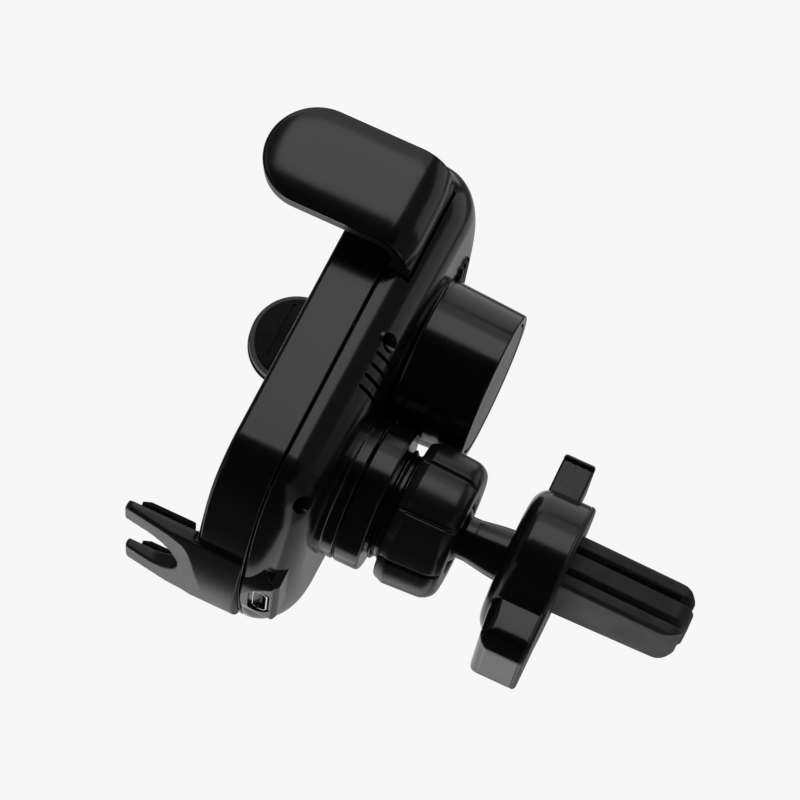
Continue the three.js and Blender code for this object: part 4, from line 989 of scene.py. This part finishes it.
def clip_outline(inset):
    r, w = CLIP_RADIUS - inset, LEG_HALF - inset
    angle = math.degrees(math.asin(w / r))
    return [*arc(0, 0, r, -90 + angle, 270 - angle, 120),
            *arc(-w + 4, LEG_BOTTOM + inset + 4, 4, 180, 270, 10),
            *arc(w - 4, LEG_BOTTOM + inset + 4, 4, 270, 360, 10)]


def clip_plate():
    low, high = node_box("clip_plate")
    plate = prism("plate", clip_outline(0), "y", low[1], high[1], 0.75, 0.1)
    window = prism("window", rounded_box(-8.3, 8.3, PRONG_Z - 6.7, PRONG_Z + 6.7, 1), "y", 40, 46, 0)
    holes = [drum("hole", 0.95, 40, 46, 24, side * 11.7, -6.5) for side in (1, -1)]
    sinks = [drum("sink", 1.8, high[1] - 0.7, 46, 32, side * 11.7, -6.5) for side in (1, -1)]
    cut(plate, window)
    cut(plate, *holes)
    cut(plate, *sinks)
    dress(plate, "vent_plate", "clip", "satin_plastic", SATIN, "clip_plate")


def leg_cap():
    seam = node_box("leg_cap")[1][2]
    cap = leg_form("cap")
    cut(cap, box("above_seam", -20, 20, 20, 60, seam, 10, 0))
    cut(cap, box("rear", -20, 20, CLIP_SHELL_BACK, 60, -30, 10, 0))
    dress(cap, "leg_end_cap", "clip", "satin_plastic", GLOSS, "leg_cap", angle=60)


def release_lever():
    """The release tab: flat, with shallow upright ribs on its faces, and a short tongue inside."""
    low, high = node_box("release_lever")
    front, back = low[1], high[1]
    side = rounded([(front, 12.4, 0.65), (front + 2.2, 8.6, 0.65), (38.2, 8.6, 0), (38.2, 11.4, 0),
                    (back, 11.4, 0), (back, high[2], 0), (front, high[2], 0)], 5)
    tab = prism("tab", side, "x", low[0], high[0], 0.6, 0.6, 5)
    flutes = []
    for dy in (-1.7, 0, 1.7):
        y = (front + back) / 2 + dy
        for s in (-1, 1):
            flutes.append(prism("flute", rounded_box(y - 0.38, y + 0.38, 15.4, 24, 0.3, 4), "x",
                                *sorted((s * (high[0] - 0.28), s * (high[0] + 1))), 0))
    notch = box("notch", -2.9, 2.9, front + 1.4, back + 1, 9.4, 14.8, 0)
    cut(tab, *flutes)
    cut(tab, notch)
    cut(tab, lathe_x("pin_hole", 1.05, -12, 12, 37.6, 12))
    tongue = box("tongue", -2.4, 2.4, 37.0, 38.2, low[2], 10, 0.2)
    lever = merged("lever", tab, tongue)
    dress(lever, "release_tab", "release_lever", "satin_plastic", SATIN, "release_lever")
    c_low, c_high = node_box("lever_cap")
    outline = rounded([(c_low[1], c_low[2], 0), (c_high[1], c_low[2], 0), (c_high[1], c_high[2], 0.62),
                       (c_low[1], c_high[2], 0.62)], 6)
    cap = prism("cap", outline, "x", c_low[0], c_high[0], 0.6, 0.6, 6)
    dress(cap, "release_tab_cap", "release_lever", "satin_plastic", SATIN, "lever_cap")


def lathe_x(name, radius, x0, x1, y, z, sides=40):
    ring = [(y + radius * math.cos(a), z + radius * math.sin(a))
            for a in np.linspace(0, 2 * math.pi, sides, endpoint=False)]
    return prism(name, ring, "x", x0, x1, 0)


def prong_plan(low_edge):
    """The three prongs' shared plan from above, narrowing a little to round corners at the end."""
    half, end = 8.0, 69.8
    return rounded([(-half, 38.2, 0), (half, 38.2, 0), (half, 46, 0), (half - 1.1, end, low_edge),
                    (-half + 1.1, end, low_edge), (-half, 46, 0)], 10)


def prongs():
    end = 69.8
    z0, z1 = PRONG_Z - 5.9, PRONG_Z + 5.9
    for name, side in (("upper_jaw", 1), ("lower_jaw", -1)):
        inner = PRONG_Z + side * 3.1
        outer = PRONG_Z + side * 5.9
        low, high = sorted((inner, outer))
        plan = prism("plan", prong_plan(3.4), "z", low, high, 0.9 if side > 0 else 0.3,
                     0.3 if side > 0 else 0.9, 6)
        keep = prism("keep", rounded_box(20, end, z0, z1, 5.0, 16), "x", -20, 20, 0)
        boolean(plan, "INTERSECT", keep)
        bed = box("bed", -6.5, 6.5, 50, 66.2, inner - 0.9, inner + 0.9, 0)
        cut(plan, bed)
        pin_z = PRONG_Z + side * 4.6
        boolean(plan, "UNION", lathe_x("root", 2, -8, 8, 40.7, pin_z))
        cut(plan, lathe_x("bore", 1.05, -12, 12, 40.7, pin_z))
        softened(plan, 0.2, 3)
        dress(plan, f"{name}_shell", name, "soft_rubber", RUBBER, name, angle=70)
    blade = prism("blade", prong_plan(3.6), "z", PRONG_Z - 1.9, PRONG_Z + 1.9, 0.45, 0.45, 5)
    low, high = node_box("middle_blade")
    root = box("root", -8, 8, low[1], 38.4, PRONG_Z - 4, PRONG_Z + 3.4, 0.2)
    dress(merged("blade", blade, root), "centre_prong", "clip", "soft_rubber", RUBBER, "middle_blade")
    for name, side in (("upper_jaw_pad", 1), ("lower_jaw_pad", -1)):
        low, high = node_box(name)
        base = box("base", low[0], high[0], low[1], high[1], *((low[2] + 0.22, high[2]) if side > 0 else
                                                               (low[2], high[2] - 0.22)), 0.05)
        face = low[2] + 0.28 if side > 0 else high[2] - 0.28
        ribs = []
        for i in range(8):
            y = low[1] + 1.2 + i * 1.9
            ribs.append(prism("rib", rounded([(y - 0.55, face, 0), (y + 0.55, face, 0),
                                              (y, face - side * 0.26, 0.12)], 3), "x", low[0], high[0], 0.05))
        dress(merged("pad", base, *ribs), f"{name}_ribs", name[:-4], "soft_rubber", PAD_RUBBER, name)


# ------------------------------------------------------------------ pieces that stay as they are in CAD

def carried_over():
    """The small inner pieces keep their CAD meshes and take their finished materials."""
    plain = {
        "chassis": INNER, "charging_coil": COPPER, "ferrite_sheet": FERRITE, "circuit_board": BOARD,
        "key_switch": STEEL, "socket_screw": STEEL, "ball_friction_cup": PAD_RUBBER, "ball_liner_cup": NYLON,
        "clamp_ring": NYLON, "drive_gear": NYLON, "gear_shaft": STEEL, "motor_pinion": STEEL,
        "drive_motor": STEEL, "lever_pin": STEEL, "lever_spring": SPRING, "upper_jaw_pin": STEEL,
        "lower_jaw_pin": STEEL, "clip_screw_1": STEEL, "clip_screw_2": STEEL,
    }
    for name, material in plain.items():
        frame["nodes"][name].material_slots[0].material = material


# ------------------------------------------------------------------ floor, light and camera

def studio():
    """A pale backdrop and a pale floor, bright to the camera and dim to everything else."""
    scene = bpy.context.scene
    scene.view_settings.view_transform = "Standard"
    scene.view_settings.look = "None"
    world = bpy.data.worlds.new("studio")
    scene.world = world
    world.use_nodes = True
    tree = world.node_tree
    background = tree.nodes["Background"]
    path = tree.nodes.new("ShaderNodeLightPath")
    seen = tree.nodes.new("ShaderNodeMix")
    seen.data_type = "RGBA"
    seen.inputs["A"].default_value = (0.1, 0.1, 0.1, 1)
    seen.inputs["B"].default_value = (0.93, 0.93, 0.93, 1)
    tree.links.new(path.outputs["Is Camera Ray"], seen.inputs["Factor"])
    tree.links.new(seen.outputs["Result"], background.inputs["Color"])
    floor = prism("floor", rounded_box(-3000, 3000, -3000, 3000, 400, 8), "z", -352, -350, 0)
    paper = Nodes("pale_paper")
    paper.link(paper.ramp(paper.noise(6, 4), [(0.3, (0.9, 0.9, 0.9)), (0.7, (0.93, 0.93, 0.93))]),
               paper.shader.inputs["Base Color"])
    paper.set(Roughness=0.9, Emission_Color=(0.62, 0.62, 0.62, 1))
    paper.link(paper.add("ShaderNodeLightPath").outputs["Is Camera Ray"],
               paper.shader.inputs["Emission Strength"])
    floor.data.materials.append(paper.material)


def area(name, place, target, width, height, power, seen=False):
    light = bpy.data.lights.new(name, "AREA")
    light.shape = "RECTANGLE"
    light.size, light.size_y = width, height
    light.energy = power
    lamp = bpy.data.objects.new(name, light)
    lamp.location = place
    lamp.rotation_euler = (Vector(target) - Vector(place)).to_track_quat("-Z", "Y").to_euler()
    lamp.visible_camera = seen
    bpy.context.scene.collection.objects.link(lamp)
    return lamp


def card(name, place, target, width, height):
    """A black card that only reflections see."""
    half_w, half_h = width / 2 / MM, height / 2 / MM
    sheet = prism(name, [(-half_w, -half_h), (half_w, -half_h), (half_w, half_h), (-half_w, half_h)], "z",
                  -1, 0, 0)
    sheet.data.transform(Matrix.Translation(-SHIFT * MM))
    aim = (Vector(target) - Vector(place)).to_track_quat("Z", "Y").to_matrix().to_4x4()
    sheet.matrix_world = Matrix.Translation(place) @ aim
    black = Nodes(name)
    black.set(Base_Color=(0.003, 0.003, 0.003, 1), Roughness=1.0)
    sheet.data.materials.append(black.material)
    sheet.visible_camera = False
    sheet.visible_diffuse = False
    sheet.visible_shadow = False


def lights():
    """Large soft boxes round the mount, and two black cards that keep its dark reflections dark."""
    target = (0, -0.04, 0.01)
    area("side_softbox", (0.646, -0.08, 0.39), (0.04, -0.06, 0.04), 0.72, 0.4, 1.3)
    area("upper_softbox", (0.47, -0.08, 0.654), (0.04, -0.06, 0.04), 0.72, 0.25, 0.36)
    area("top_softbox", (-0.1, -0.3, 0.85), target, 0.9, 0.9, 1.6)
    area("back_softbox", (-0.15, 0.9, 0.89), target, 0.9, 0.9, 1.1)
    area("far_backdrop", (-0.75, -0.51, 0.2), (0, -0.51, 0.2), 0.78, 1.1, 1.7)
    area("far_backdrop_clip_side", (-0.75, 0.39, 0.2), (0, 0.39, 0.2), 1.02, 1.1, 0.9)
    area("floor_glow", (-0.5, -0.05, -0.345), (-0.5, -0.05, 0), 1.2, 1.4, 3.6)
    card("camera_card", (0.72, 0.0, -0.1), (0, 0, -0.1), 1.5, 0.62)
    card("floor_card", (0.48, 0.0, -0.33), (0.48, 0.0, 0), 1.6, 0.7)


def camera():
    """The view: from the right and below, rolled, aimed so that the object sits as framed."""
    azimuth, elevation, roll = (math.radians(a) for a in (96.348, -22.937, 27.059))
    distance, focal = 0.58246, 2898.96
    off_x, off_y = -15.466, 49.416
    centre = Vector((0, HEAD_Y * MM, 0.010))
    back = Vector((math.sin(azimuth) * math.cos(elevation), -math.cos(azimuth) * math.cos(elevation),
                   math.sin(elevation)))
    right = Vector((math.cos(azimuth), math.sin(azimuth), 0))
    up = back.cross(right)
    image_right = math.cos(roll) * right + math.sin(roll) * up
    image_up = -math.sin(roll) * right + math.cos(roll) * up
    data = bpy.data.cameras.new("camera")
    data.sensor_width = 36
    data.lens = focal * 36 / 800
    data.shift_x = -off_x / 800
    data.shift_y = off_y / 800
    made = bpy.data.objects.new("camera", data)
    turn = Matrix((image_right, image_up, back)).transposed().to_4x4()
    made.matrix_world = Matrix.Translation(centre + back * distance) @ turn
    bpy.context.scene.collection.objects.link(made)
    bpy.context.scene.camera = made


front_casing()
charging_panel()
grip_ring()
rear_cover()
pod_cap()
rear_key()
inlet()
case_screws()
ball_socket()
clamp_nut()
ball_stem()
arms()
foot()
clip_shell()
clip_plate()
leg_cap()
release_lever()
prongs()
carried_over()
studio()
lights()
camera()
